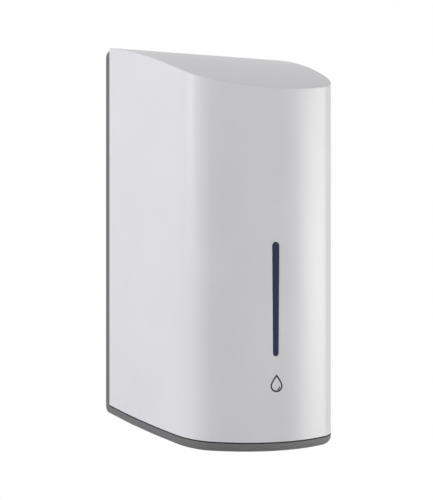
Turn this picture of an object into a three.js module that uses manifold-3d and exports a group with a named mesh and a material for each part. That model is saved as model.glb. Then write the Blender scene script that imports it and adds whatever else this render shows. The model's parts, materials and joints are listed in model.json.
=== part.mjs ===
import * as THREE from 'three';
import { mergeVertices } from 'three/addons/utils/BufferGeometryUtils.js';
import Module from 'manifold-3d';

// Wall-hung automatic gel dispenser. Millimetres, +Z up, +X to the right of someone facing it.
// Depths are counted forward from the wall, so a depth of d lies at y = -d.
// Heights are counted from the foot of the wall plate, where the sloping underside meets the wall.

// Outer form
const totalHeight = 280;
const shellWidth = 143.4;
const coverDepth = 101.8;
const plateDepth = 4.4;
const plateGap = 0.4;
const sideRadius = 341;
const cornerRadius = 26.8;
const frontRadius = 142;
const baseSlopeDegrees = 12.5;
const topFall = 13.2;
const topCrown = 18.9;
const topFillet = 1.6;

// Wall thicknesses and clearances shared by all the pieces
const coverWall = 2.5;
const caseWall = 2;
const clearance = 0.3;
const seatGap = 0.35;
const overrun = 2;
const mergeTolerance = 0.0001;

// Facet counts
const sideFacets = 3;
const cornerFacets = 6;
const frontFacets = 5;
const filletFacets = 3;
const roundFacets = 28;
const pinFacets = 8;
const smallFacets = 16;
const hexSides = 6;

// Chassis: wall plate, sloping base tray, rim and locating lip
const plateWall = 3;
const plateCornerRadius = 6.5;
const rimHeight = 6;
const rimGap = 0.8;
const rimRoundInset = 3.2;
const rimRoundRise = 5.4;
const floorThickness = 2.6;
const lipThickness = 2.4;
const lipRise = 4;
const lipReach = 3.6;
const lipTopDrop = 16;
const rearPocketDepth = 1.2;
const rearRim = 8;
const rearRib = 3;
const rearPocketRows = 4;
const rearPadRadius = 9;
const keyholeRadius = 5;
const keyholeSlotRadius = 2.6;
const keyholeSlotLength = 8;
const keyholeInset = 21.7;
const keyholeUpperDrop = 44;
const keyholeLowerRise = 74;

// Cover hinge: one rod along the top edge of the plate, through two lugs of the cover
const barrelRadius = 2.1;
const hingeRodRadius = 1;
const hingeTopGap = 0.3;
const lugSpacing = 84;
const lugWidth = 12;
const lugReach = 3;
const lugCrownDrop = 0.5;
const rodEndWall = 5;

// Level window in the cover front
const windowTop = 119.3;
const windowLength = 77.7;
const windowTopWidth = 6;
const windowBottomWidth = 4.7;
const windowRecess = 0.4;
const windowFlangeMargin = 3.2;
const windowFlangeThickness = 1.5;
const retainerThickness = 1.8;
const retainerMargin = 1.6;
const retainerTail = 6;
const pegRadius = 1.5;
const pegTip = 1;

// Cam lock in the base and the hook on the cover that it holds
const lockSideInset = 27.7;
const lockFrontInset = 20.5;
const lockBodyRadius = 6;
const lockFlangeRadius = 8.5;
const lockFlangeThickness = 1.3;
const lockPlugRadius = 4;
const lockBodyTop = 12.2;
const lockNutRadius = 9.2;
const lockNutThickness = 2.6;
const camThickness = 2;
const camLength = 9;
const camHalfWidth = 3.2;
const camSquareHalf = 2;
const camScrewRadius = 3;
const camScrewHead = 1.6;
const camScrewShank = 0.8;
const keySlotLength = 5;
const keySlotWidth = 1.2;
const keySlotDepth = 7;
const hookThickness = 3;
const hookArm = 4;
const hookHeight = 6;
const hookSideGap = 1.6;
const hookEndGap = 0.4;

// Drive compartment cover, whose deck carries the tank
const deckTop = 46;
const deckInset = 6.4;
const deckRear = 8;
const deckFront = 93;
const deckRearRadius = 4;
const lockBayWidth = 18.3;
const lockBayGap = 0.4;
const sleeveRadius = 5;
const sleeveFoot = 22;
const sleeveSeat = 2;
const postRadius = 4;
const deckScrewRearInset = 17.7;
const deckScrewRearDepth = 17;
const deckScrewFrontInset = 25.7;
const deckScrewFrontDepth = 62;
const wellRadius = 12;
const wellDepth = 11;
const wellFloor = 1.2;

// Self-tapping screws
const screwHeadRadius = 3;
const screwHeadHeight = 2;
const screwShankRadius = 1.4;
const screwLength = 9;
const screwSocketRadius = 1.3;
const screwSocketDepth = 1.1;

// Tank
const tankInset = 9;
const tankRear = 25;
const tankRearRadius = 9;
const tankHeadroom = 32;
const tankEdge = 5;
const tankWall = 1.6;
const neckDepth = 58;
const neckRadius = 21;
const neckWall = 2.4;
const neckHeight = 11;
const spoutDepth = 76;
const spoutRadius = 9;
const spoutWall = 2.4;
const spoutLength = 8.6;
const capRadius = 25.4;
const capTop = 2.4;
const capSkirt = 9.4;
const capRibCount = 28;
const capRibShare = 0.035;
const capRibTurnShares = [0, 0.4, 0.5, 0.9];
const capSealThickness = 1.6;

// Gear pump
const pumpHeight = 22;
const pumpHalfWidth = 15.5;
const pumpHalfHeight = 11;
const pumpBodyDepth = 18;
const pumpEarReach = 7.5;
const pumpPostRadius = 3.2;
const pumpEarHeight = 5;
const pumpCavityDepth = 11;
const pumpCavityMargin = 0.5;
const pumpPlateThickness = 3;
const inletRadius = 4;
const inletBore = 2.5;
const outletRadius = 3;
const outletBore = 1.6;
const outletLength = 6;
const gearTeeth = 10;
const gearCentres = 12.2;
const gearTipShare = 1.15;
const gearRootShare = 0.75;
const toothThicknessShare = 0.42;
const pressureAngleDegrees = 20;
const flankSteps = 2;
const shaftRadius = 1.2;
const shaftInMotor = 7;

// Motor
const motorRadius = 12;
const motorLength = 29;
const motorBossRadius = 4;
const motorBossHeight = 2;
const motorTabWidth = 2.4;
const motorTabThickness = 0.8;
const motorTabLength = 4;
const motorTabSpacing = 14;
const cradleThickness = 3.4;
const cradleWidth = 16;
const cradleLead = 7;

// Outlet tube and nozzle, straight below the pump
const tubeRadius = 4.3;
const tubeWall = 1;
const tubeEndGap = 0.6;
const nozzleSeat = -10;
const nozzleBossRadius = 10.5;
const nozzleFlangeRadius = 9;
const nozzleFlangeThickness = 2;
const nozzleBarbLength = 5.4;
const nozzleBarbRound = 1;
const nozzleRadius = 5.7;
const nozzleTipRadius = 4.6;
const nozzleTip = -22.4;
const nozzleTipRise = 2.4;
const nozzleMouthRadius = 3.4;
const nozzleMouthDepth = 6;
const valveCollar = 2;
const valveBill = 3;
const valveSlitWidth = 0.6;
const valveSlitLength = 3.6;

// Sensor group, measured along the sloping floor
const sensorAlong = 43.5;
const sensorWindowHalfWidth = 12.7;
const sensorWindowHalfDepth = 6;
const sensorFlange = 2.2;
const sensorFlangeThickness = 1.2;
const sensorRecess = 0.4;
const sensorSpacing = 14;
const sensorRadius = 2.5;
const sensorBoardHeight = 11;
const boardThickness = 1.6;
const sensorBoardLeft = 20.5;
const sensorBoardRight = 27;
const sensorBoardHalfDepth = 6.5;
const sensorPostRadius = 2;
const sensorPostInset = 2.2;
const lampX = 19;
const lampRadius = 2.3;
const lampFlangeRadius = 3;

// Low-voltage inlet socket
const inletSocketInset = 31.7;
const inletSocketAlong = 24;
const inletSocketRadius = 6;
const inletSocketHeight = 13;
const inletSocketFlangeRadius = 8;
const inletSocketFlange = 1.6;
const inletSocketBore = 3.2;
const inletSocketPin = 1;
const inletSocketWall = 2;

// Control board
const boardToPost = 16;
const boardRear = 22;
const boardFront = 60;
const boardFoot = 4;
const boardTop = 41;
const guideHalfWidth = 3.4;
const guideDepth = 4.6;
const guideTop = 16;
const guideBite = 2.4;
const chipSize = 9;
const chipHeight = 1.6;
const capacitorRadius = 4;
const capacitorHeight = 7;
const plugSocketWidth = 12;
const plugSocketHeight = 6;

// Switch and dose button in the front of the drive cover
const switchInset = 39.7;
const switchDrop = 5.6;
const switchHalfWidth = 6.6;
const switchHalfHeight = 4.4;
const switchBezel = 1;
const switchBezelThickness = 0.8;
const switchDepth = 12;
const switchWall = 1.2;
const rockerRadius = 4.9;
const rockerPivotInset = 2.4;
const rockerTiltDegrees = 10;
const buttonInset = 37.7;
const buttonHeight = 12;
const buttonRadius = 4;
const buttonProud = 2;
const buttonFlange = 1.2;
const buttonFlangeThickness = 1;
const buttonTravel = 1;
const buttonBoardDepth = 9;
const buttonBoardHalfWidth = 6;
const buttonBoardHalfHeight = 10;
const buttonBossRadius = 2.2;
const tactHalf = 3;

// Battery box on the wall plate, and its sliding lid
const boxHalfWidth = 36;
const boxFoot = 100;
const boxHeight = 62.6;
const boxDepth = 17.2;
const boxWall = 3;
const boxBack = 1.6;
const cellRadius = 7.1;
const cellLength = 50.5;
const cellNubRadius = 2.7;
const cellNub = 1.2;
const cellPitch = 15.6;
const cellCount = 4;
const bayHalfWidth = 7.4;
const contactThickness = 0.5;
const contactHalfWidth = 5;
const springRadius = 3.6;
const springTipShare = 0.6;
const springWire = 0.4;
const springHeight = 3.6;
const springTurns = 3;
const springSteps = 8;
const springSides = 4;
const lidThickness = 2;
const lidSkirt = 8;
const lidGrooveDepth = 1.3;
const lidGrooveHeight = 2;
const lidGripHeight = 1;
const lidGripCount = 4;
const lidGripPitch = 3.4;
const lidGripWidth = 24;
const lidGripThickness = 1.4;
const boxEarReach = 10;
const boxEarHalf = 5;
const boxEarThickness = 2.5;
const boxEarStand = 6;
const boxEarScrewX = 42;

// Places that follow from the sizes above
const slope = THREE.MathUtils.degToRad(baseSlopeDegrees);
const rise = Math.tan(slope);
const shellDepth = plateDepth + plateGap + coverDepth;
const coverRear = plateDepth + plateGap;
const topHeight = totalHeight - shellDepth * rise;
const plateMiddle = topHeight / 2;
const hingeDepth = plateDepth - barrelRadius;
const hingeHeight = topHeight - hingeTopGap - barrelRadius;
const lipOuter = coverWall + clearance;
const lipInner = lipOuter + lipThickness;
const coverFoot = rimHeight + rimGap;
const lipTop = rimHeight + lipRise;
const nozzleDepth = spoutDepth;
const halfWidth = shellWidth / 2;
const deckScrewRearX = halfWidth - deckScrewRearInset;
const deckScrewFrontX = halfWidth - deckScrewFrontInset;
const lockX = halfWidth - lockSideInset;
const lockBayX = lockX - lockBayWidth;
const lockDepth = shellDepth - frontRadius + Math.sqrt(frontRadius * frontRadius - lockX * lockX)
  - lockFrontInset;
const lockAlong = lockDepth / Math.cos(slope);
const lockBayDepth = lockDepth - lockNutRadius - lockBayGap;
const keyholeX = halfWidth - keyholeInset;
const inletSocketX = inletSocketInset - halfWidth;
const boardX = deckScrewFrontX - boardToPost;
const switchX = switchInset - halfWidth;
const buttonX = buttonInset - halfWidth;
const coverInnerFront = shellDepth - coverWall;
const deckUnder = deckTop - caseWall;
const switchHeight = deckUnder - switchDrop;
const boltBore = screwShankRadius + clearance;
const pumpFront = spoutDepth + pumpBodyDepth / 2;
const pumpRear = spoutDepth - pumpBodyDepth / 2;
const pumpTop = pumpHeight + pumpHalfHeight;
const pumpFoot = pumpHeight - pumpHalfHeight;
const plateRear = pumpRear - clearance - pumpPlateThickness;
const motorFront = plateRear - clearance;
const motorRear = motorFront - motorLength;
const gearX = gearCentres / 2;
const tankFoot = deckTop + clearance;
const capCrown = neckHeight + capSealThickness + 2 * clearance + capTop;
const tankTop = topAt(-neckDepth) - coverWall - tankHeadroom - capCrown;
const boxRear = plateWall + clearance;
const boxFront = boxRear + boxDepth;
const panelFront = deckFront;
const camFoot = lockBodyTop + seatGap + clearance;

const wasm = await Module();
wasm.setup();

// Shared tools: closed meshes in and out of the cutting library, and plain primitive forms
function toSolid(geometry) {
  const plain = geometry.clone();
  for (const name of Object.keys(plain.attributes)) {
    if (name !== 'position') plain.deleteAttribute(name);
  }
  const merged = mergeVertices(plain, mergeTolerance);
  const index = merged.index.array;
  const kept = [];
  for (let i = 0; i < index.length; i += 3) {
    const [a, b, c] = [index[i], index[i + 1], index[i + 2]];
    if (a !== b && b !== c && c !== a) kept.push(a, b, c);
  }
  return new wasm.Manifold(new wasm.Mesh({
    numProp: 3,
    vertProperties: new Float32Array(merged.attributes.position.array),
    triVerts: new Uint32Array(kept),
  }));
}

function toGeometry(solid) {
  const mesh = solid.getMesh();
  const geometry = new THREE.BufferGeometry();
  const points = new Float32Array(mesh.numVert * 3);
  for (let i = 0; i < mesh.numVert; i += 1) {
    for (let k = 0; k < 3; k += 1) points[i * 3 + k] = mesh.vertProperties[i * mesh.numProp + k];
  }
  geometry.setAttribute('position', new THREE.BufferAttribute(points, 3));
  geometry.setIndex(new THREE.BufferAttribute(new Uint32Array(mesh.triVerts), 1));
  geometry.computeVertexNormals();
  return geometry;
}

function join(...solids) {
  return solids.reduce((sum, solid) => sum.add(solid));
}

function cut(solid, ...tools) {
  return tools.reduce((rest, tool) => rest.subtract(tool), solid);
}

function box(x0, x1, depth0, depth1, z0, z1) {
  const geometry = new THREE.BoxGeometry(Math.abs(x1 - x0), Math.abs(depth1 - depth0), Math.abs(z1 - z0));
  geometry.translate((x0 + x1) / 2, -(depth0 + depth1) / 2, (z0 + z1) / 2);
  return geometry;
}

function rod(axis, radius, from, to, u, v, facets = roundFacets, endRadius = radius) {
  const length = Math.abs(to - from);
  const [first, last] = from < to ? [radius, endRadius] : [endRadius, radius];
  const geometry = new THREE.CylinderGeometry(last, first, length, facets);
  const middle = (from + to) / 2;
  if (axis === 'x') {
    geometry.rotateZ(-Math.PI / 2);
    geometry.translate(middle, -u, v);
  } else if (axis === 'depth') {
    geometry.rotateX(Math.PI);
    geometry.translate(u, -middle, v);
  } else {
    geometry.rotateX(Math.PI / 2);
    geometry.translate(u, -v, middle);
  }
  return geometry;
}

function boxSolid(...sizes) {
  return toSolid(box(...sizes));
}

function rodSolid(...sizes) {
  return toSolid(rod(...sizes));
}

function tilted(geometry) {
  return toSolid(geometry.rotateX(slope));
}

function ring(axis, outer, inner, from, to, u, v, facets = roundFacets) {
  const low = Math.min(from, to);
  const high = Math.max(from, to);
  const bore = rodSolid(axis, inner, low - overrun, high + overrun, u, v, facets);
  return rodSolid(axis, outer, low, high, u, v, facets).subtract(bore);
}

// Height of the outer top surface at a depth, falling and curving down towards the front
function topAt(y) {
  const share = Math.max(0, (-y - coverRear) / coverDepth);
  return topHeight - topFall * share - topCrown * share * share;
}

function underAt(y) {
  return rise * y;
}

// Plan outline: gently bowed sides, rounded corners and a bowed front, all tangent arcs.
// It runs from the left rear to the right rear, mirrored about x = 0, with one point on x = 0.
function planOutline(inset, rearDepth, rearRadius = 0) {
  const sideCentre = new THREE.Vector2(sideRadius - halfWidth, -coverRear);
  const frontCentre = new THREE.Vector2(0, frontRadius - shellDepth);
  const toSide = sideRadius - cornerRadius;
  const toFront = frontRadius - cornerRadius;
  const between = frontCentre.clone().sub(sideCentre);
  const gap = between.length();
  const along = (toSide ** 2 - toFront ** 2 + gap ** 2) / (2 * gap);
  const across = Math.sqrt(toSide ** 2 - along ** 2);
  const unit = between.clone().normalize();
  const normal = new THREE.Vector2(unit.y, -unit.x);
  const candidates = [-1, 1].map((side) => sideCentre.clone()
    .addScaledVector(unit, along).addScaledVector(normal, side * across));
  const corner = candidates.sort((a, b) => a.x - b.x)[0];
  const sideEnd = Math.atan2(sideCentre.y - corner.y, sideCentre.x - corner.x);
  const frontEnd = Math.atan2(frontCentre.y - corner.y, frontCentre.x - corner.x);

  const half = [];
  const start = -rearDepth - rearRadius;
  const side = sideRadius - inset;
  const reach = Math.max(0, sideCentre.y - start);
  const startTurn = Math.asin(reach / side);
  const startX = sideCentre.x - side * Math.cos(startTurn);
  if (rearRadius > 0) {
    for (let i = 0; i < filletFacets; i += 1) {
      const turn = (Math.PI / 2) * (i / filletFacets);
      half.push([startX + rearRadius * (1 - Math.sin(turn)), start + rearRadius * Math.cos(turn)]);
    }
  }
  if (start > sideCentre.y) half.push([startX, start]);
  for (let i = 0; i <= sideFacets; i += 1) {
    const turn = startTurn + (sideEnd - startTurn) * (i / sideFacets);
    half.push([sideCentre.x - side * Math.cos(turn), sideCentre.y - side * Math.sin(turn)]);
  }
  const round = cornerRadius - inset;
  for (let i = 1; i <= cornerFacets; i += 1) {
    const turn = sideEnd + (frontEnd - sideEnd) * (i / cornerFacets);
    half.push([corner.x - round * Math.cos(turn), corner.y - round * Math.sin(turn)]);
  }
  const front = frontRadius - inset;
  for (let i = 1; i <= frontFacets; i += 1) {
    const turn = frontEnd + (Math.PI / 2 - frontEnd) * (i / frontFacets);
    half.push([frontCentre.x - front * Math.cos(turn), frontCentre.y - front * Math.sin(turn)]);
  }
  half[half.length - 1][0] = 0;
  const mirrored = half.slice(0, -1).reverse().map(([x, y]) => [-x, y]);
  return half.concat(mirrored);
}

// Closed body through rings of equal point counts, its ends closed by rungs from left to right
function loft(rings) {
  const count = rings[0].length;
  const positions = rings.flat(2);
  const index = [];
  for (let level = 0; level < rings.length - 1; level += 1) {
    for (let i = 0; i < count; i += 1) {
      const next = (i + 1) % count;
      const [a, b] = [level * count + i, level * count + next];
      const [c, d] = [a + count, b + count];
      index.push(a, b, d, a, d, c);
    }
  }
  const lastRing = (rings.length - 1) * count;
  for (let i = 0; i < (count - 1) / 2; i += 1) {
    const [left, right] = [i, count - 1 - i];
    const [leftNext, rightNext] = [i + 1, count - 2 - i];
    index.push(left, right, rightNext, lastRing + left, lastRing + rightNext, lastRing + right);
    if (leftNext !== rightNext) {
      index.push(left, rightNext, leftNext, lastRing + left, lastRing + leftNext, lastRing + rightNext);
    }
  }
  const geometry = new THREE.BufferGeometry();
  geometry.setAttribute('position', new THREE.Float32BufferAttribute(positions, 3));
  geometry.setIndex(index);
  return geometry;
}

function levelRing(outline, heightAt) {
  return outline.map(([x, y]) => [x, y, heightAt(y)]);
}

// Prism over the plan outline between two surfaces that depend on depth alone
function planPrism(inset, rearDepth, lowAt, highAt, rearRadius = 0) {
  const outline = planOutline(inset, rearDepth, rearRadius);
  return toSolid(loft([levelRing(outline, lowAt), levelRing(outline, highAt)]));
}

// Solid with rounded edges all round its flat top and bottom, drawn in at the rear as well
function roundedPlanBody(inset, rearDepth, rearRadius, low, high, edge) {
  const rings = [];
  const addRing = (turn, height) => {
    const draw = edge * (1 - Math.sin(turn));
    const outline = planOutline(inset + draw, rearDepth + draw, rearRadius - draw);
    rings.push(levelRing(outline, () => height));
  };
  for (let i = 0; i <= filletFacets; i += 1) {
    const turn = (Math.PI / 2) * (i / filletFacets);
    addRing(turn, low + edge * (1 - Math.cos(turn)));
  }
  for (let i = filletFacets; i >= 0; i -= 1) {
    const turn = (Math.PI / 2) * (i / filletFacets);
    addRing(turn, high - edge * (1 - Math.cos(turn)));
  }
  return toSolid(loft(rings));
}

function extruded(shape, depth, curveSegments = smallFacets) {
  return new THREE.ExtrudeGeometry(shape, { depth, bevelEnabled: false, curveSegments });
}

// Shape drawn in x and height, given thickness from one depth to another
function facingPrism(shape, depth0, depth1, curveSegments) {
  const geometry = extruded(shape, Math.abs(depth1 - depth0), curveSegments);
  geometry.rotateX(Math.PI / 2);
  geometry.translate(0, -Math.min(depth0, depth1), 0);
  return toSolid(geometry);
}

function polygon(points) {
  return new THREE.Shape(points.map(([x, y]) => new THREE.Vector2(x, y)));
}

function lathed(points, facets = roundFacets) {
  return toSolid(new THREE.LatheGeometry(points.map(([r, h]) => new THREE.Vector2(r, h)), facets)
    .rotateX(Math.PI / 2));
}

// Chassis
function basePart() {
  const rings = [];
  for (let i = 0; i <= filletFacets + 1; i += 1) {
    const turn = (Math.PI / 2) * (i / (filletFacets + 1));
    const outline = planOutline(rimRoundInset * (1 - Math.sin(turn)), 0);
    rings.push(levelRing(outline, (y) => underAt(y) + rimRoundRise * (1 - Math.cos(turn))));
  }
  rings.push(levelRing(planOutline(0, 0), (y) => underAt(y) + rimHeight));
  const slab = toSolid(loft(rings));
  const lip = planPrism(lipOuter, plateWall, (y) => underAt(y) + floorThickness,
    (y) => underAt(y) + lipTop);
  const hollow = planPrism(lipInner, plateWall, (y) => underAt(y) + floorThickness,
    () => topHeight);
  return slab.add(lip).subtract(hollow);
}

function roundedPlate(width, low, high, radius) {
  const half = width / 2;
  const shape = new THREE.Shape();
  shape.moveTo(-half, low);
  shape.lineTo(half, low);
  shape.lineTo(half, high - radius);
  shape.absarc(half - radius, high - radius, radius, 0, Math.PI / 2);
  shape.lineTo(radius - half, high);
  shape.absarc(radius - half, high - radius, radius, Math.PI / 2, Math.PI);
  return shape;
}

function wallPlate() {
  const crown = hingeHeight + barrelRadius;
  const shape = roundedPlate(shellWidth, 0, crown, plateCornerRadius);
  const aboveRim = planPrism(0, 0, (y) => underAt(y) + rimHeight - clearance, () => crown + overrun);
  const blank = facingPrism(shape, 0, plateDepth, cornerFacets).intersect(aboveRim);
  const below = boxSolid(-halfWidth, halfWidth, 0, plateDepth, 0, hingeHeight);
  const barrel = rodSolid('x', barrelRadius, -halfWidth, halfWidth, hingeDepth, hingeHeight, smallFacets);
  const edge = blank.intersect(below.add(barrel));
  const dish = boxSolid(lipInner - halfWidth, halfWidth - lipInner, plateWall, plateDepth + overrun,
    0, hingeHeight - 2 * barrelRadius);
  const within = planPrism(lipOuter, plateWall - clearance, () => 0, () => topHeight);
  const lips = [-1, 1].map((side) => boxSolid(side * halfWidth, side * (halfWidth - lipInner),
    plateWall - clearance, coverRear + lipReach, rimHeight, topHeight - lipTopDrop).intersect(within));
  return join(cut(edge, dish), ...lips);
}

function hingeCuts() {
  const cuts = [-1, 1].map((side) => boxSolid(
    side * lugSpacing / 2 - lugWidth / 2 - seatGap, side * lugSpacing / 2 + lugWidth / 2 + seatGap,
    -overrun, plateDepth + overrun, hingeHeight - barrelRadius - clearance * 2, topHeight + overrun));
  const bore = rodSolid('x', hingeRodRadius + clearance, rodEndWall - halfWidth, halfWidth + overrun,
    hingeDepth, hingeHeight, pinFacets);
  return [...cuts, bore];
}

function keyholePlaces() {
  const places = [];
  for (const side of [-1, 1]) {
    places.push([side * keyholeX, topHeight - keyholeUpperDrop]);
    places.push([side * keyholeX, keyholeLowerRise]);
  }
  return places;
}

// Shallow pockets in the wall side, between ribs that stay flush with the wall
function rearPockets() {
  const low = rimHeight + rearRim;
  const high = hingeHeight - barrelRadius - rearRim;
  const rowHeight = (high - low - rearRib * (rearPocketRows - 1)) / rearPocketRows;
  const pockets = [];
  for (let row = 0; row < rearPocketRows; row += 1) {
    const foot = low + row * (rowHeight + rearRib);
    for (const side of [-1, 1]) {
      pockets.push(boxSolid(side * rearRib / 2, side * (halfWidth - rearRim),
        -overrun, rearPocketDepth, foot, foot + rowHeight));
    }
  }
  const pads = keyholePlaces().map(([x, z]) => rodSolid('depth', rearPadRadius,
    -2 * overrun, plateWall, x, z, smallFacets));
  pads.push(rodSolid('depth', rearPadRadius, -2 * overrun, plateWall, 0, plateMiddle, smallFacets));
  return cut(join(...pockets), ...pads);
}

function keyholes() {
  return keyholePlaces().flatMap(([x, z]) => [
    rodSolid('depth', keyholeRadius, -overrun, plateWall + overrun, x, z, smallFacets),
    rodSolid('depth', keyholeSlotRadius, -overrun, plateWall + overrun,
      x, z + keyholeSlotLength, smallFacets),
    boxSolid(x - keyholeSlotRadius, x + keyholeSlotRadius, -overrun, plateWall + overrun,
      z, z + keyholeSlotLength),
  ]);
}

function deckScrewPlaces() {
  return [
    [-deckScrewRearX, deckScrewRearDepth], [deckScrewRearX, deckScrewRearDepth],
    [-deckScrewFrontX, deckScrewFrontDepth], [deckScrewFrontX, deckScrewFrontDepth],
  ];
}

function pumpScrewPlaces() {
  const x = pumpHalfWidth + pumpEarReach / 2;
  return [[-x, spoutDepth], [x, spoutDepth]];
}

function posts() {
  const reach = screwLength - sleeveSeat;
  const deckPosts = deckScrewPlaces().map(([x, d]) => cut(
    rodSolid('z', postRadius, underAt(-d) + floorThickness / 2, sleeveFoot - seatGap, x, d, smallFacets),
    rodSolid('z', boltBore, sleeveFoot - reach - clearance, sleeveFoot + overrun, x, d, pinFacets)));
  const pumpReach = screwLength - pumpEarHeight;
  const pumpPosts = pumpScrewPlaces().map(([x, d]) => cut(
    rodSolid('z', pumpPostRadius, underAt(-d) + floorThickness / 2, pumpFoot - seatGap, x, d, smallFacets),
    rodSolid('z', boltBore, pumpFoot - pumpReach - clearance * 2, pumpFoot + overrun, x, d, pinFacets)));
  return [...deckPosts, ...pumpPosts];
}

function boardGuides() {
  const middle = boardX + boardThickness / 2;
  return [[boardRear, -1], [boardFront, 1]].map(([depth, outward]) => {
    const inner = depth - outward * guideBite;
    const outer = depth + outward * (guideDepth - guideBite);
    const foot = underAt(-Math.max(inner, outer)) + floorThickness / 2;
    const block = boxSolid(middle - guideHalfWidth, middle + guideHalfWidth, inner, outer, foot, guideTop);
    const slot = boxSolid(boardX - clearance, boardX + boardThickness + clearance,
      inner - outward * overrun, depth + outward * clearance, boardFoot - clearance, guideTop + overrun);
    return cut(block, slot);
  });
}

// A saddle under the front of the motor, shaped to its can
function motorCradle() {
  const front = motorFront - cradleLead;
  const foot = underAt(-front) + floorThickness / 2;
  const saddle = boxSolid(-gearX - cradleWidth / 2, -gearX + cradleWidth / 2,
    front - cradleThickness, front, foot, pumpHeight - motorRadius / 2);
  const can = rodSolid('depth', motorRadius + seatGap, motorRear - overrun, motorFront + overrun,
    -gearX, pumpHeight);
  return saddle.subtract(can);
}

function sensorPosts() {
  const y = -sensorAlong;
  const left = -sensorBoardLeft + sensorPostInset;
  const right = sensorBoardRight - sensorPostInset;
  return [left, right].map((x) => tilted(rod('z', sensorPostRadius, floorThickness / 2,
    sensorBoardHeight - clearance, x, -y, pinFacets)));
}

function batteryBosses() {
  const z = boxFoot + boxHeight / 2;
  return [-1, 1].map((side) => rodSolid('depth', postRadius, plateWall - clearance, plateWall + boxEarStand,
    side * boxEarScrewX, z, smallFacets));
}

function batteryBores() {
  const z = boxFoot + boxHeight / 2;
  const tip = plateWall + boxEarStand + boxEarThickness - screwLength;
  return [-1, 1].map((side) => rodSolid('depth', boltBore, tip - clearance,
    plateWall + boxEarStand + overrun, side * boxEarScrewX, z, pinFacets));
}

function floorHoles() {
  const through = floorThickness + rimHeight;
  return [
    rodSolid('z', nozzleRadius + clearance, nozzleTip - overrun, nozzleSeat + overrun, 0, nozzleDepth),
    tilted(box(-sensorWindowHalfWidth - clearance, sensorWindowHalfWidth + clearance,
      sensorAlong - sensorWindowHalfDepth - clearance, sensorAlong + sensorWindowHalfDepth + clearance,
      -overrun, through)),
    tilted(rod('z', lampRadius + clearance, -overrun, through, lampX, sensorAlong, smallFacets)),
    tilted(rod('z', lockBodyRadius + clearance, -overrun, through, lockX, lockAlong)),
    tilted(rod('z', inletSocketRadius + clearance, -overrun, through, inletSocketX, inletSocketAlong,
      smallFacets)),
  ];
}

function chassis() {
  const nozzleFloor = underAt(-nozzleDepth + nozzleBossRadius);
  const nozzleBoss = rodSolid('z', nozzleBossRadius, nozzleFloor - floorThickness, nozzleSeat,
    0, nozzleDepth);
  const aboveFloor = planPrism(lipOuter, plateWall, (y) => underAt(y) + floorThickness / 2, () => topHeight);
  const fittings = join(nozzleBoss, ...posts(), ...boardGuides(), motorCradle(), ...sensorPosts());
  const shell = join(basePart(), wallPlate(), fittings.intersect(aboveFloor), ...batteryBosses());
  return cut(shell, ...hingeCuts(), rearPockets(), ...keyholes(), ...batteryBores(), ...floorHoles());
}

// Front cover: a lofted shell with a rounded crease round its curved top
function coverBody() {
  const wall = planOutline(0, coverRear);
  const rings = [levelRing(wall, (y) => underAt(y) + coverFoot)];
  for (let i = 0; i <= filletFacets + 1; i += 1) {
    const turn = (Math.PI / 2) * (i / (filletFacets + 1));
    const outline = planOutline(topFillet * (1 - Math.cos(turn)), coverRear);
    rings.push(levelRing(outline, (y) => topAt(y) - topFillet * (1 - Math.sin(turn))));
  }
  return toSolid(loft(rings));
}

function coverHollow() {
  const outline = planOutline(coverWall, coverRear - overrun);
  const rings = [
    levelRing(outline, (y) => underAt(y)),
    levelRing(outline, (y) => topAt(y) - coverWall),
  ];
  return toSolid(loft(rings));
}

function slotShape(grow) {
  const shape = new THREE.Shape();
  const topRadius = windowTopWidth / 2;
  const bottomRadius = windowBottomWidth / 2;
  const topCentre = windowTop - topRadius;
  const bottomCentre = windowTop - windowLength + bottomRadius;
  shape.absarc(0, topCentre, topRadius + grow, 0, Math.PI);
  shape.absarc(0, bottomCentre, bottomRadius + grow, Math.PI, 2 * Math.PI);
  return shape;
}

function pegHeights() {
  const reach = windowFlangeMargin + retainerTail / 2 + clearance;
  return [windowTop + reach, windowTop - windowLength - reach];
}

function hookSolid() {
  const armRight = lockX - camLength - hookSideGap - clearance;
  const armLeft = armRight - hookArm;
  const barFront = lockAlong - camHalfWidth - hookEndGap;
  const barRear = barFront - hookThickness;
  const foot = camFoot - clearance;
  const barRight = lockX - camHalfWidth - camSquareHalf / 2 - clearance * 2;
  const arm = tilted(box(armLeft, armRight, barRear, shellDepth + overrun, foot, foot + hookHeight));
  const bar = tilted(box(armLeft, barRight, barRear, barFront, foot, foot + hookHeight));
  return arm.add(bar);
}

function coverLugs() {
  return [-1, 1].map((side) => {
    const middle = side * lugSpacing / 2;
    const left = middle - lugWidth / 2;
    const right = middle + lugWidth / 2;
    const knuckle = rodSolid('x', barrelRadius, left, right, hingeDepth, hingeHeight, smallFacets);
    const arm = boxSolid(left, right, hingeDepth, coverRear + lugReach,
      hingeHeight - barrelRadius, topHeight - lugCrownDrop * 2);
    return knuckle.add(arm);
  });
}

function frontCover() {
  const outer = coverBody();
  const shell = outer.subtract(coverHollow());
  const hook = hookSolid().intersect(outer);
  const pegs = pegHeights().map((z) => rodSolid('depth', pegRadius, coverInnerFront + coverWall / 2,
    coverInnerFront - windowFlangeThickness - retainerThickness - 3 * clearance - pegTip, 0, z, pinFacets));
  const bore = rodSolid('x', hingeRodRadius + clearance, -halfWidth, halfWidth, hingeDepth, hingeHeight,
    pinFacets);
  const slot = facingPrism(slotShape(0), shellDepth - coverWall * 2, shellDepth + overrun);
  return cut(join(shell, hook, ...pegs, ...coverLugs()), bore, slot);
}

function levelWindow() {
  const flangeFront = coverInnerFront - 2 * clearance;
  const core = facingPrism(slotShape(-clearance), flangeFront - windowFlangeThickness,
    shellDepth - windowRecess);
  const flange = facingPrism(slotShape(windowFlangeMargin), flangeFront - windowFlangeThickness, flangeFront);
  return core.add(flange);
}

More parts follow.
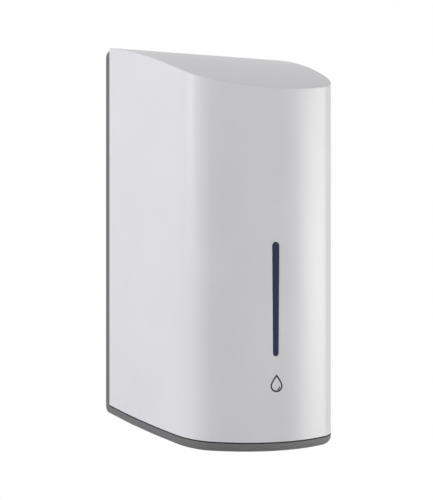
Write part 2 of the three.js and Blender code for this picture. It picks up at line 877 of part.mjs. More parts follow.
function windowRetainer() {
  const front = coverInnerFront - 3 * clearance - windowFlangeThickness;
  const reach = windowFlangeMargin + retainerTail;
  const half = windowTopWidth / 2 + windowFlangeMargin + retainerMargin;
  const plate = boxSolid(-half, half, front - retainerThickness, front,
    windowTop - windowLength - reach - retainerMargin, windowTop + reach + retainerMargin);
  const sight = facingPrism(slotShape(clearance), front - retainerThickness - overrun, front + overrun);
  const holes = pegHeights().map((z) => rodSolid('depth', pegRadius + clearance,
    front - retainerThickness - overrun, front + overrun, 0, z, pinFacets));
  return cut(plate, sight, ...holes);
}

// Drive compartment cover
function driveCover() {
  const foot = floorThickness + seatGap;
  const outerBlock = (inset, rear, low, high) => planPrism(inset, rear, low, high, deckRearRadius);
  const outer = outerBlock(deckInset, deckRear, (y) => underAt(y) + foot, () => deckTop)
    .intersect(boxSolid(-halfWidth, halfWidth, 0, deckFront, -topHeight, topHeight));
  const lockBay = boxSolid(lockBayX, halfWidth, lockBayDepth, shellDepth, -topHeight, topHeight);
  const inner = outerBlock(deckInset + caseWall, deckRear + caseWall, () => -topHeight, () => deckUnder)
    .intersect(boxSolid(-halfWidth, halfWidth, 0, deckFront - caseWall, -topHeight, topHeight));
  const bayWall = boxSolid(lockBayX - caseWall, halfWidth, lockBayDepth - caseWall, shellDepth,
    -topHeight, topHeight);
  const shell = outer.subtract(lockBay).subtract(inner.subtract(bayWall));
  const wellFoot = deckTop - wellDepth;
  const well = rodSolid('z', wellRadius, wellFoot - wellFloor, deckTop, 0, spoutDepth);
  const sleeves = deckScrewPlaces().map(([x, d]) => rodSolid('z', sleeveRadius, sleeveFoot, deckTop, x, d,
    smallFacets));
  const bossBack = deckFront - buttonBoardDepth;
  const bosses = [-1, 1].map((side) => rodSolid('depth', buttonBossRadius, bossBack + clearance,
    deckFront - caseWall / 2, buttonX, buttonHeight + side * (buttonBoardHalfHeight - buttonBossRadius),
    pinFacets));
  const cuts = [
    rodSolid('z', spoutRadius + 2 * clearance, wellFoot, deckTop + overrun, 0, spoutDepth),
    rodSolid('z', inletRadius + clearance, wellFoot - wellDepth, deckTop, 0, spoutDepth),
    boxSolid(switchX - switchHalfWidth - clearance, switchX + switchHalfWidth + clearance,
      deckFront - 2 * caseWall, deckFront + overrun,
      switchHeight - switchHalfHeight - clearance, switchHeight + switchHalfHeight + clearance),
    rodSolid('depth', buttonRadius + clearance, deckFront - 2 * caseWall, deckFront + overrun,
      buttonX, buttonHeight, smallFacets),
  ];
  for (const [x, d] of deckScrewPlaces()) {
    cuts.push(rodSolid('z', screwHeadRadius + 2 * clearance, sleeveFoot + sleeveSeat, deckTop + overrun, x, d,
      smallFacets));
    cuts.push(rodSolid('z', boltBore, sleeveFoot - overrun, deckTop, x, d, pinFacets));
  }
  return cut(join(shell, well, ...sleeves, ...bosses), ...cuts);
}

// A self-tapping screw standing upright, its head resting just above zero height
function screw() {
  const head = lathed([
    [0, 0], [screwHeadRadius, 0], [screwHeadRadius, screwHeadHeight / 2],
    [screwHeadRadius * 2 / 3, screwHeadHeight], [0, screwHeadHeight],
  ], smallFacets);
  const shank = rodSolid('z', screwShankRadius, screwShankRadius - screwLength, clearance, 0, 0, pinFacets);
  const tip = rodSolid('z', screwShankRadius, screwShankRadius - screwLength, -screwLength, 0, 0, pinFacets,
    screwShankRadius / 4);
  const arms = [0, Math.PI / 2].map((turn) => toSolid(box(-screwSocketRadius, screwSocketRadius,
    -screwSocketRadius / 4, screwSocketRadius / 4, screwHeadHeight - screwSocketDepth,
    screwHeadHeight + overrun).rotateZ(turn)));
  return cut(join(head, shank, tip), ...arms);
}

// Tank
function tankBody() {
  const outer = roundedPlanBody(tankInset, tankRear, tankRearRadius, tankFoot, tankTop, tankEdge);
  const inner = roundedPlanBody(tankInset + tankWall, tankRear + tankWall, tankRearRadius - tankWall,
    tankFoot + tankWall, tankTop - tankWall, tankEdge - tankWall);
  const neck = rodSolid('z', neckRadius, tankTop - tankWall, tankTop + neckHeight, 0, neckDepth);
  const spout = rodSolid('z', spoutRadius, tankFoot - spoutLength, tankFoot + tankWall, 0, spoutDepth);
  const mouth = rodSolid('z', neckRadius - neckWall, tankTop - 2 * tankWall, tankTop + neckHeight + overrun,
    0, neckDepth);
  const drain = rodSolid('z', spoutRadius - spoutWall, tankFoot - spoutLength - overrun,
    tankFoot + 2 * tankWall, 0, spoutDepth);
  return cut(join(outer, neck, spout), inner, mouth, drain);
}

function tankSeal() {
  const foot = tankFoot - spoutLength + clearance;
  return ring('z', spoutRadius - spoutWall - clearance, inletRadius + clearance, foot,
    foot + spoutLength - tankWall, 0, spoutDepth);
}

function tankCap() {
  const points = [];
  for (let i = 0; i < capRibCount; i += 1) {
    const step = 2 * Math.PI / capRibCount;
    capRibTurnShares.forEach((share, corner) => {
      const turn = (i + share) * step;
      const radius = corner < 2 ? capRadius : capRadius * (1 - capRibShare);
      points.push([radius * Math.cos(turn), radius * Math.sin(turn)]);
    });
  }
  const foot = tankTop + neckHeight - capSkirt;
  const crown = tankTop + capCrown;
  const skirt = extruded(polygon(points), crown - foot);
  skirt.translate(0, -neckDepth, foot);
  const hollow = rodSolid('z', neckRadius + clearance * 2, foot - overrun, crown - capTop, 0, neckDepth);
  return toSolid(skirt).subtract(hollow);
}

function capSeal() {
  const foot = tankTop + neckHeight + clearance;
  return ring('z', neckRadius, neckRadius - neckWall - clearance, foot, foot + capSealThickness,
    0, neckDepth);
}

// Gear pump
function gearProfile(phase) {
  const pitch = gearCentres / 2;
  const base = pitch * Math.cos(THREE.MathUtils.degToRad(pressureAngleDegrees));
  const tip = pitch * gearTipShare;
  const root = pitch * gearRootShare;
  const involute = (r) => {
    const reach = Math.sqrt(Math.max(0, (r / base) ** 2 - 1));
    return reach - Math.atan(reach);
  };
  const halfTooth = Math.PI * toothThicknessShare / gearTeeth + involute(pitch);
  const points = [];
  for (let tooth = 0; tooth < gearTeeth; tooth += 1) {
    const middle = phase + tooth * 2 * Math.PI / gearTeeth;
    const flank = [[root, halfTooth]];
    for (let i = 0; i <= flankSteps; i += 1) {
      const r = base + (tip - base) * i / flankSteps;
      flank.push([r, halfTooth - involute(r)]);
    }
    for (const [r, turn] of flank) points.push([r * Math.cos(middle - turn), r * Math.sin(middle - turn)]);
    for (const [r, turn] of flank.reverse()) {
      points.push([r * Math.cos(middle + turn), r * Math.sin(middle + turn)]);
    }
  }
  return polygon(points);
}

function pumpGear(x, phase) {
  const front = pumpRear + pumpCavityDepth - clearance;
  const blank = facingPrism(gearProfile(phase), pumpRear + clearance, front);
  const placed = toSolid(toGeometry(blank).translate(x, 0, pumpHeight));
  return placed.subtract(rodSolid('depth', shaftRadius + clearance, pumpRear - overrun, front + overrun,
    x, pumpHeight, pinFacets));
}

function pumpBody() {
  const tipRadius = gearCentres / 2 * gearTipShare + pumpCavityMargin;
  const block = boxSolid(-pumpHalfWidth, pumpHalfWidth, pumpRear, pumpFront, pumpFoot, pumpTop);
  const ears = boxSolid(-pumpHalfWidth - pumpEarReach, pumpHalfWidth + pumpEarReach,
    pumpRear + pumpEarHeight, pumpFront - pumpEarHeight, pumpFoot, pumpFoot + pumpEarHeight);
  const inlet = rodSolid('z', inletRadius, pumpTop - clearance, deckTop - overrun,
    0, spoutDepth, smallFacets);
  const outlet = rodSolid('z', outletRadius, pumpFoot - outletLength, pumpFoot + clearance, 0, spoutDepth,
    smallFacets);
  const cavities = [-1, 1].map((side) => rodSolid('depth', tipRadius, pumpRear - overrun,
    pumpRear + pumpCavityDepth, side * gearX, pumpHeight));
  const middle = pumpRear + pumpCavityDepth / 2;
  const suction = boxSolid(-inletBore, inletBore, middle - inletBore, spoutDepth + inletBore,
    pumpHeight + gearX, pumpTop - pumpEarHeight);
  const delivery = boxSolid(-outletBore, outletBore, middle - outletBore, spoutDepth + outletBore,
    pumpFoot + pumpEarHeight, pumpHeight - gearX);
  const bores = [
    rodSolid('z', inletBore, pumpTop - 2 * pumpEarHeight, deckTop + overrun, 0, spoutDepth, pinFacets),
    rodSolid('z', outletBore, pumpFoot - outletLength - overrun, pumpFoot + 2 * pumpEarHeight, 0, spoutDepth,
      pinFacets),
  ];
  const idlerBore = rodSolid('depth', shaftRadius + clearance, pumpRear, pumpFront - 2 * caseWall,
    gearX, pumpHeight, pinFacets);
  const shaftBore = rodSolid('depth', shaftRadius + clearance, pumpRear, pumpFront - 2 * caseWall,
    -gearX, pumpHeight, pinFacets);
  const screwBores = pumpScrewPlaces().map(([x, d]) => rodSolid('z', boltBore, pumpFoot - overrun,
    pumpFoot + 2 * pumpEarHeight, x, d, pinFacets));
  return cut(join(block, ears, inlet, outlet), ...cavities, suction, delivery, ...bores, idlerBore,
    shaftBore, ...screwBores);
}

function pumpPlate() {
  const plate = boxSolid(-pumpHalfWidth, pumpHalfWidth, plateRear, plateRear + pumpPlateThickness,
    pumpFoot, pumpTop);
  return plate.subtract(rodSolid('depth', shaftRadius + clearance, plateRear - overrun,
    pumpRear + overrun, -gearX, pumpHeight, pinFacets));
}

function motorShaft() {
  return rodSolid('depth', shaftRadius, motorFront - shaftInMotor, pumpFront - 2 * caseWall - clearance,
    -gearX, pumpHeight, pinFacets);
}

function idlerPin() {
  return rodSolid('depth', shaftRadius, pumpRear + clearance, pumpFront - 2 * caseWall - clearance,
    gearX, pumpHeight, pinFacets);
}

function motor() {
  const can = rodSolid('depth', motorRadius, motorRear, motorFront, -gearX, pumpHeight);
  const boss = rodSolid('depth', motorBossRadius, motorRear - motorBossHeight, motorRear + motorBossHeight,
    -gearX, pumpHeight, smallFacets);
  const tabs = [-1, 1].map((side) => {
    const x = -gearX + side * motorTabSpacing / 2;
    return boxSolid(x - motorTabThickness / 2, x + motorTabThickness / 2, motorRear - motorTabLength,
      motorRear + motorTabLength, pumpHeight - motorTabWidth / 2, pumpHeight + motorTabWidth / 2);
  });
  const bore = rodSolid('depth', shaftRadius + clearance, motorFront - shaftInMotor - clearance,
    motorFront + overrun, -gearX, pumpHeight, pinFacets);
  return join(can, boss, ...tabs).subtract(bore);
}

function outletTube() {
  const foot = nozzleSeat + clearance + nozzleFlangeThickness + tubeEndGap;
  return ring('z', tubeRadius, tubeRadius - tubeWall, foot, pumpFoot - tubeEndGap, 0, nozzleDepth,
    smallFacets);
}

function nozzle() {
  const seat = nozzleSeat + clearance;
  const top = seat + nozzleFlangeThickness;
  const body = lathed([
    [0, nozzleTip], [nozzleTipRadius, nozzleTip], [nozzleRadius, nozzleTip + nozzleTipRise],
    [nozzleRadius, seat], [nozzleFlangeRadius, seat], [nozzleFlangeRadius, top],
    [outletRadius, top], [outletRadius, top + nozzleBarbLength - nozzleBarbRound],
    [outletRadius - nozzleBarbRound, top + nozzleBarbLength], [0, top + nozzleBarbLength],
  ]);
  const placed = toSolid(toGeometry(body).translate(0, -nozzleDepth, 0));
  const bore = rodSolid('z', outletBore, nozzleTip - overrun, top + nozzleBarbLength + overrun, 0,
    nozzleDepth, pinFacets);
  const mouth = rodSolid('z', nozzleMouthRadius, nozzleTip - overrun, nozzleTip + nozzleMouthDepth, 0,
    nozzleDepth, smallFacets);
  return cut(placed, bore, mouth);
}

// Duckbill valve: a round collar that narrows to two lips with a slit between them
function dripValve() {
  const top = nozzleTip + nozzleMouthDepth - clearance;
  const radius = nozzleMouthRadius - clearance;
  const collar = rodSolid('z', radius, top - valveCollar, top, 0, nozzleDepth, smallFacets);
  const bill = rodSolid('z', radius, top - valveCollar, top - valveCollar - valveBill, 0, nozzleDepth,
    smallFacets, radius / 2);
  const slit = boxSolid(-valveSlitLength / 2, valveSlitLength / 2, nozzleDepth - valveSlitWidth / 2,
    nozzleDepth + valveSlitWidth / 2, nozzleTip - overrun, top - valveCollar / 2);
  const throat = rodSolid('z', outletBore, top - valveCollar, top + overrun, 0, nozzleDepth, pinFacets);
  return cut(collar.add(bill), slit, throat);
}

// Pieces set square to the sloping floor are drawn level here, and turned with their group
function sensorWindow() {
  const near = sensorAlong - sensorWindowHalfDepth;
  const far = sensorAlong + sensorWindowHalfDepth;
  const seat = floorThickness + clearance;
  const core = boxSolid(-sensorWindowHalfWidth, sensorWindowHalfWidth, near, far, sensorRecess, seat);
  const flange = boxSolid(-sensorWindowHalfWidth - sensorFlange, sensorWindowHalfWidth + sensorFlange,
    near - sensorFlange, far + sensorFlange, seat, seat + sensorFlangeThickness);
  return core.add(flange);
}

function sensorEye(x) {
  const foot = floorThickness + 2 * clearance + sensorFlangeThickness;
  const top = sensorBoardHeight - clearance;
  const shoulder = foot + sensorRadius / 2;
  return toSolid(toGeometry(lathed([
    [0, foot], [sensorRadius / 2, foot], [sensorRadius, shoulder], [sensorRadius, top], [0, top],
  ], smallFacets)).translate(x, -sensorAlong, 0));
}

function sensorBoard() {
  return boxSolid(-sensorBoardLeft, sensorBoardRight, sensorAlong - sensorBoardHalfDepth,
    sensorAlong + sensorBoardHalfDepth, sensorBoardHeight, sensorBoardHeight + boardThickness);
}

function statusLamp() {
  const seat = floorThickness + clearance;
  const stem = rodSolid('z', lampRadius, sensorRecess, sensorBoardHeight - clearance, lampX, sensorAlong,
    smallFacets);
  const flange = rodSolid('z', lampFlangeRadius, seat, seat + sensorFlangeThickness, lampX, sensorAlong,
    smallFacets);
  return stem.add(flange);
}

function inletSocket() {
  const seat = floorThickness + clearance;
  const shell = join(
    rodSolid('z', inletSocketRadius, sensorRecess, inletSocketHeight, inletSocketX, inletSocketAlong,
      smallFacets),
    rodSolid('z', inletSocketFlangeRadius, seat, seat + inletSocketFlange, inletSocketX, inletSocketAlong,
      smallFacets));
  const bore = rodSolid('z', inletSocketBore, -overrun, inletSocketHeight - inletSocketWall, inletSocketX,
    inletSocketAlong, smallFacets);
  const pin = rodSolid('z', inletSocketPin, sensorRecess + inletSocketWall, inletSocketHeight, inletSocketX,
    inletSocketAlong, pinFacets);
  return shell.subtract(bore).add(pin);
}

function lockBody() {
  const flange = rodSolid('z', lockFlangeRadius, -clearance - lockFlangeThickness, -clearance, lockX,
    lockAlong);
  const barrel = rodSolid('z', lockBodyRadius, -clearance - lockFlangeThickness, lockBodyTop, lockX,
    lockAlong);
  const bore = rodSolid('z', lockPlugRadius + clearance, -overrun * 2, lockBodyTop + overrun, lockX,
    lockAlong, smallFacets);
  return flange.add(barrel).subtract(bore);
}

function lockNut() {
  return cut(
    rodSolid('z', lockNutRadius, floorThickness + clearance, floorThickness + clearance + lockNutThickness,
      lockX, lockAlong, hexSides),
    rodSolid('z', lockBodyRadius + clearance, 0, lockBodyTop, lockX, lockAlong));
}

function lockPlug() {
  const face = -clearance - lockFlangeThickness;
  const plug = rodSolid('z', lockPlugRadius, face, camFoot - clearance, lockX, lockAlong, smallFacets);
  const square = boxSolid(lockX - camSquareHalf, lockX + camSquareHalf, lockAlong - camSquareHalf,
    lockAlong + camSquareHalf, camFoot - 2 * clearance, camFoot + camThickness);
  const keyway = boxSolid(lockX - keySlotWidth / 2, lockX + keySlotWidth / 2,
    lockAlong - keySlotLength / 2, lockAlong + keySlotLength / 2, face - overrun, face + keySlotDepth);
  const thread = rodSolid('z', camScrewShank + clearance, camFoot - camScrewHead * 2,
    camFoot + camThickness + overrun, lockX, lockAlong, pinFacets);
  return cut(plug.add(square), keyway, thread);
}

function lockCam() {
  const hub = rodSolid('z', camHalfWidth + camSquareHalf / 2, camFoot, camFoot + camThickness, lockX,
    lockAlong, smallFacets);
  const arm = boxSolid(lockX - camHalfWidth, lockX + camHalfWidth, lockAlong, lockAlong + camLength,
    camFoot, camFoot + camThickness);
  const hole = boxSolid(lockX - camSquareHalf - clearance, lockX + camSquareHalf + clearance,
    lockAlong - camSquareHalf - clearance, lockAlong + camSquareHalf + clearance, 0,
    camFoot + 2 * camThickness);
  return hub.add(arm).subtract(hole);
}

function camScrew() {
  const seat = camFoot + camThickness + clearance;
  const head = rodSolid('z', camScrewRadius, seat, seat + camScrewHead, lockX, lockAlong, smallFacets);
  const shank = rodSolid('z', camScrewShank, camFoot - camScrewHead, seat + clearance, lockX, lockAlong,
    pinFacets);
  return head.add(shank);
}

// Control board with its parts soldered on
function controlBoard() {
  const face = boardX + boardThickness;
  const middle = (boardRear + boardFront) / 2;
  const board = boxSolid(boardX, face, boardRear, boardFront, boardFoot, boardTop);
  const height = (boardFoot + boardTop) / 2;
  const chip = boxSolid(face, face + chipHeight, middle - chipSize / 2, middle + chipSize / 2,
    height - chipSize / 2, height + chipSize / 2);
  const capacitors = [-1, 1].map((side) => rodSolid('x', capacitorRadius, face - clearance,
    face + capacitorHeight, middle + side * 2 * chipSize, height + chipSize / 2, smallFacets));
  const sockets = [-1, 1].map((side) => boxSolid(face, face + plugSocketHeight,
    middle + side * plugSocketWidth - plugSocketWidth / 2, middle + side * plugSocketWidth
    + plugSocketWidth / 2 - clearance, boardTop - plugSocketHeight - caseWall, boardTop - caseWall));
  return join(board, chip, ...capacitors, ...sockets);
}

// Rocker switch
function switchBody() {
  const bezelFront = panelFront + clearance + switchBezelThickness;
  const bezel = boxSolid(switchX - switchHalfWidth - switchBezel, switchX + switchHalfWidth + switchBezel,
    panelFront + clearance, bezelFront, switchHeight - switchHalfHeight - switchBezel,
    switchHeight + switchHalfHeight + switchBezel);
  const body = boxSolid(switchX - switchHalfWidth, switchX + switchHalfWidth, bezelFront - switchDepth,
    bezelFront, switchHeight - switchHalfHeight, switchHeight + switchHalfHeight);
  const inner = boxSolid(switchX - switchHalfWidth + switchWall, switchX + switchHalfWidth - switchWall,
    bezelFront - switchDepth + switchWall, bezelFront + overrun,
    switchHeight - switchHalfHeight + switchWall, switchHeight + switchHalfHeight - switchWall);
  return bezel.add(body).subtract(inner);
}

function rockerDepth() {
  return panelFront + clearance + switchBezelThickness - rockerPivotInset;
}

// Rocker: a drum segment with a shallow V across its face, turning about an upright pin
function powerRocker() {
  const half = switchHalfHeight - switchWall - clearance;
  const depth = rockerDepth();
  const drum = rodSolid('z', rockerRadius, switchHeight - half, switchHeight + half, switchX, depth);
  const tilt = THREE.MathUtils.degToRad(rockerTiltDegrees);
  const faces = [-1, 1].map((side) => {
    const block = box(-rockerRadius * 2, rockerRadius * 2, 0, rockerRadius * 2, -half * 2, half * 2);
    block.translate(0, -rockerPivotInset - switchBezelThickness, 0);
    block.rotateZ(tilt * (1 + side));
    block.translate(switchX, -depth, switchHeight);
    return toSolid(block);
  });
  return drum.subtract(faces[0].intersect(faces[1]));
}

function doseButton() {
  const inner = deckFront - caseWall - clearance;
  const cap = rodSolid('depth', buttonRadius, inner - buttonFlangeThickness, deckFront + buttonProud,
    buttonX, buttonHeight, smallFacets);
  const flange = rodSolid('depth', buttonRadius + buttonFlange, inner - buttonFlangeThickness, inner,
    buttonX, buttonHeight, smallFacets);
  return cap.add(flange);
}

function buttonBoard() {
  const face = deckFront - buttonBoardDepth;
  const board = boxSolid(buttonX - buttonBoardHalfWidth, buttonX + buttonBoardHalfWidth,
    face - boardThickness, face, buttonHeight - buttonBoardHalfHeight, buttonHeight + buttonBoardHalfHeight);
  const tact = boxSolid(buttonX - tactHalf, buttonX + tactHalf, face - clearance,
    deckFront - caseWall - clearance - buttonFlangeThickness - buttonTravel - clearance,
    buttonHeight - tactHalf, buttonHeight + tactHalf);
  return board.add(tact);
}

// Battery box, its lid, cells and contacts
function cellPlaces() {
  return Array.from({ length: cellCount }, (_, i) => (i - (cellCount - 1) / 2) * cellPitch);
}

function cellFoot() {
  return boxFoot + boxWall + contactThickness + springHeight + 3 * clearance;
}

function batteryBox() {
  const top = boxFoot + boxHeight;
  const blank = boxSolid(-boxHalfWidth, boxHalfWidth, boxRear, boxFront, boxFoot, top);
  const bays = cellPlaces().map((x) => boxSolid(x - bayHalfWidth, x + bayHalfWidth, boxRear + boxBack,
    boxFront + overrun, boxFoot + boxWall, top - boxWall));
  const grooves = [-1, 1].map((side) => boxSolid(side * (boxHalfWidth - lidGrooveDepth),
    side * (boxHalfWidth + overrun), boxFront - lidSkirt / 2 - lidGrooveHeight, boxFront - lidSkirt / 2,
    boxFoot + boxWall, top + overrun));
  const earFront = plateWall + boxEarStand + clearance + boxEarThickness;
  const ears = [-1, 1].map((side) => boxSolid(side * (boxHalfWidth - lidGrooveDepth),
    side * (boxHalfWidth + boxEarReach), earFront - boxEarThickness, earFront,
    boxFoot + boxHeight / 2 - boxEarHalf, boxFoot + boxHeight / 2 + boxEarHalf));
  const holes = [-1, 1].map((side) => rodSolid('depth', boltBore, 0, boxFront, side * boxEarScrewX,
    boxFoot + boxHeight / 2, pinFacets));
  const strips = contactPlaces().map((place) => contactStrip(place, clearance));
  return cut(join(cut(blank, ...bays, ...grooves, ...strips), ...ears), ...holes);
}

function batteryLid() {
  const top = boxFoot + boxHeight;
  const back = boxFront + clearance;
  const half = boxHalfWidth + clearance + lidThickness;
  const panel = boxSolid(-half, half, back, back + lidThickness, boxFoot, top);
  const skirts = [-1, 1].map((side) => boxSolid(side * (boxHalfWidth + clearance), side * half,
    boxFront - lidSkirt + clearance, back, boxFoot, top));
  const ribs = [-1, 1].map((side) => boxSolid(side * (boxHalfWidth - lidGrooveDepth + clearance),
    side * half, boxFront - lidSkirt / 2 - lidGrooveHeight + clearance, boxFront - lidSkirt / 2 - clearance,
    boxFoot + boxWall + clearance, top));
  const grips = [];
  for (let i = 0; i < lidGripCount; i += 1) {
    const z = top - boxWall - lidGripPitch * (i + 1);
    grips.push(boxSolid(-lidGripWidth / 2, lidGripWidth / 2, back, back + lidThickness + lidGripHeight,
      z - lidGripThickness / 2, z + lidGripThickness / 2));
  }
  return join(panel, ...skirts, ...ribs, ...grips);
}

function batteryCell(upright) {
  const foot = cellFoot();
  const shoulder = foot + cellLength - cellNub;
  const rimStep = cellNub / 2;
  const profile = [
    [0, foot], [cellRadius - rimStep, foot], [cellRadius, foot + rimStep],
    [cellRadius, shoulder - rimStep], [cellRadius - rimStep, shoulder], [cellNubRadius, shoulder],
    [cellNubRadius, foot + cellLength], [0, foot + cellLength],
  ];
  const cell = lathed(profile, smallFacets);
  if (upright) return cell;
  const middle = boxFoot + boxHeight / 2;
  return toSolid(toGeometry(cell).translate(0, 0, -middle).rotateX(Math.PI).translate(0, 0, middle));
}

function cellDepth() {
  return boxRear + boxBack + cellRadius + clearance;
}

// Conical contact spring: one wire wound from a wide foot to a narrow tip
function contactSpring(x, turnedOver) {
  const centre = [];
  const count = Math.round(springTurns * springSteps);
  for (let i = 0; i <= count; i += 1) {
    const share = i / count;
    const turn = 2 * Math.PI * springTurns * share;
    const radius = springRadius * (1 - (1 - springTipShare) * share);
    const height = springWire + (springHeight - 2 * springWire) * share;
    centre.push(new THREE.Vector3(radius * Math.cos(turn), radius * Math.sin(turn), height));
  }
  const positions = [];
  for (let i = 0; i <= count; i += 1) {
    const before = centre[Math.max(0, i - 1)];
    const after = centre[Math.min(count, i + 1)];
    const along = after.clone().sub(before).normalize();
    const outward = new THREE.Vector3(centre[i].x, centre[i].y, 0).normalize();
    const up = along.clone().cross(outward).normalize();
    for (let k = 0; k < springSides; k += 1) {
      const turn = 2 * Math.PI * k / springSides;
      const point = centre[i].clone().addScaledVector(outward, springWire * Math.cos(turn))
        .addScaledVector(up, springWire * Math.sin(turn));
      positions.push(point.x, point.y, point.z);
    }
  }
  const index = [];
  for (let i = 0; i < count; i += 1) {
    for (let k = 0; k < springSides; k += 1) {
      const next = (k + 1) % springSides;
      const [a, b] = [i * springSides + k, i * springSides + next];
      const [c, d] = [a + springSides, b + springSides];
      index.push(a, b, d, a, d, c);
    }
  }
  const last = count * springSides;
  for (let k = 1; k < springSides - 1; k += 1) {
    index.push(0, k + 1, k, last, last + k, last + k + 1);
  }
  const geometry = new THREE.BufferGeometry();
  geometry.setAttribute('position', new THREE.Float32BufferAttribute(positions, 3));
  geometry.setIndex(index);
  const middle = boxFoot + boxHeight / 2;
  geometry.translate(0, 0, boxFoot + boxWall + 2 * clearance + contactThickness - middle);
  if (turnedOver) geometry.rotateX(Math.PI);
  geometry.translate(x, -cellDepth(), middle);
  return toSolid(geometry);
}

// Contact strips: two at the top, and at the foot one between the middle cells and one at each end
function contactPlaces() {
  const [first, second, third, fourth] = cellPlaces();
  const low = boxFoot + boxWall + clearance;
  const high = boxFoot + boxHeight - boxWall - clearance - contactThickness;
  return [[first, second, high], [third, fourth, high], [first, first, low], [second, third, low],
    [fourth, fourth, low]];
}

function contactStrip([left, right, foot], margin = 0) {
  const depth = cellDepth();
  const half = contactHalfWidth + margin;
  return boxSolid(left - half, right + half, depth - half, depth + half, foot - margin,
    foot + contactThickness + margin);
}

// Finishes
const finishes = {
  whiteShell: { color: 0xdedde2, roughness: 0.42, metalness: 0 },
  greyShell: { color: 0x6f6f72, roughness: 0.5, metalness: 0 },
  darkCase: { color: 0x3b3c40, roughness: 0.55, metalness: 0 },
  lightCase: { color: 0xc9cacd, roughness: 0.5, metalness: 0 },
  blueWindow: { color: 0x2a3044, roughness: 0.2, metalness: 0 },
  tankPlastic: { color: 0xe3e8ea, roughness: 0.35, metalness: 0 },
  capPlastic: { color: 0x4a4c52, roughness: 0.5, metalness: 0 },
  silicone: { color: 0xd7d8d4, roughness: 0.6, metalness: 0 },
  steel: { color: 0xb9bbbe, roughness: 0.35, metalness: 1 },
  zinc: { color: 0xa9abad, roughness: 0.4, metalness: 1 },
  brass: { color: 0xc2a25a, roughness: 0.35, metalness: 1 },
  board: { color: 0x1f5a3a, roughness: 0.55, metalness: 0 },
  darkLens: { color: 0x1a1216, roughness: 0.15, metalness: 0 },
  lamp: { color: 0xbfe3c6, roughness: 0.25, metalness: 0 },
  cellWrap: { color: 0x2d3136, roughness: 0.4, metalness: 0 },
  pumpPlastic: { color: 0xe6e4dc, roughness: 0.5, metalness: 0 },
};

function mesh(name, solid, finish) {
  const geometry = solid.isBufferGeometry ? solid : toGeometry(solid);
  const piece = new THREE.Mesh(geometry, new THREE.MeshStandardMaterial(finishes[finish]));
  piece.name = name;
  return piece;
}

// Assembly
const dispenser = new THREE.Group();
const assembly = new THREE.Group();
assembly.position.z = -plateMiddle;
dispenser.add(assembly);

const onFloor = new THREE.Group();
onFloor.rotation.x = slope;
assembly.add(onFloor);

assembly.add(mesh('chassis', chassis(), 'greyShell'));
assembly.add(mesh('hinge_rod', rodSolid('x', hingeRodRadius, rodEndWall + seatGap - halfWidth,
  halfWidth - rodEndWall / 2, hingeDepth, hingeHeight, pinFacets), 'steel'));
assembly.add(mesh('front_cover', frontCover(), 'whiteShell'));
assembly.add(mesh('level_window', levelWindow(), 'blueWindow'));
assembly.add(mesh('window_retainer', windowRetainer(), 'darkCase'));
assembly.add(mesh('drive_cover', driveCover(), 'lightCase'));

deckScrewPlaces().forEach(([x, d], i) => {
  const piece = mesh(`drive_cover_screw_${i + 1}`, screw(), 'steel');
  piece.position.set(x, -d, sleeveFoot + sleeveSeat + clearance);
  assembly.add(piece);
});

pumpScrewPlaces().forEach(([x, d], i) => {
  const piece = mesh(`pump_screw_${i + 1}`, screw(), 'steel');
  piece.position.set(x, -d, pumpFoot + pumpEarHeight + clearance);
  assembly.add(piece);
});

[-1, 1].forEach((side, i) => {
  const piece = mesh(`battery_box_screw_${i + 1}`, screw(), 'steel');
  const seat = plateWall + boxEarStand + clearance * 2 + boxEarThickness;
  piece.rotation.x = Math.PI / 2;
  piece.position.set(side * boxEarScrewX, -seat, boxFoot + boxHeight / 2);
  assembly.add(piece);
});

assembly.add(mesh('tank', tankBody(), 'tankPlastic'));
assembly.add(mesh('tank_seal', tankSeal(), 'silicone'));
assembly.add(mesh('tank_cap', tankCap(), 'capPlastic'));
assembly.add(mesh('cap_seal', capSeal(), 'silicone'));

assembly.add(mesh('pump_body', pumpBody(), 'pumpPlastic'));
assembly.add(mesh('pump_plate', pumpPlate(), 'pumpPlastic'));
assembly.add(mesh('drive_gear', pumpGear(-gearX, 0), 'pumpPlastic'));
assembly.add(mesh('idler_gear', pumpGear(gearX, Math.PI / gearTeeth), 'pumpPlastic'));
assembly.add(mesh('motor_shaft', motorShaft(), 'steel'));
assembly.add(mesh('idler_pin', idlerPin(), 'steel'));
assembly.add(mesh('motor', motor(), 'zinc'));
assembly.add(mesh('outlet_tube', outletTube(), 'silicone'));
assembly.add(mesh('nozzle', nozzle(), 'darkCase'));
assembly.add(mesh('drip_valve', dripValve(), 'silicone'));

onFloor.add(mesh('sensor_window', sensorWindow(), 'darkLens'));
onFloor.add(mesh('ir_emitter', sensorEye(-sensorSpacing / 2), 'lamp'));
onFloor.add(mesh('ir_receiver', sensorEye(sensorSpacing / 2), 'darkLens'));
onFloor.add(mesh('sensor_board', sensorBoard(), 'board'));
onFloor.add(mesh('status_lamp', statusLamp(), 'lamp'));
onFloor.add(mesh('inlet_socket', inletSocket(), 'darkCase'));
onFloor.add(mesh('lock_body', lockBody(), 'zinc'));
onFloor.add(mesh('lock_nut', lockNut(), 'zinc'));
onFloor.add(mesh('lock_plug', lockPlug(), 'brass'));
onFloor.add(mesh('lock_cam', lockCam(), 'zinc'));
onFloor.add(mesh('cam_screw', camScrew(), 'steel'));

assembly.add(mesh('control_board', controlBoard(), 'board'));
assembly.add(mesh('switch_body', switchBody(), 'darkCase'));
assembly.add(mesh('power_rocker', powerRocker(), 'darkCase'));
assembly.add(mesh('dose_button', doseButton(), 'darkCase'));
assembly.add(mesh('button_board', buttonBoard(), 'board'));

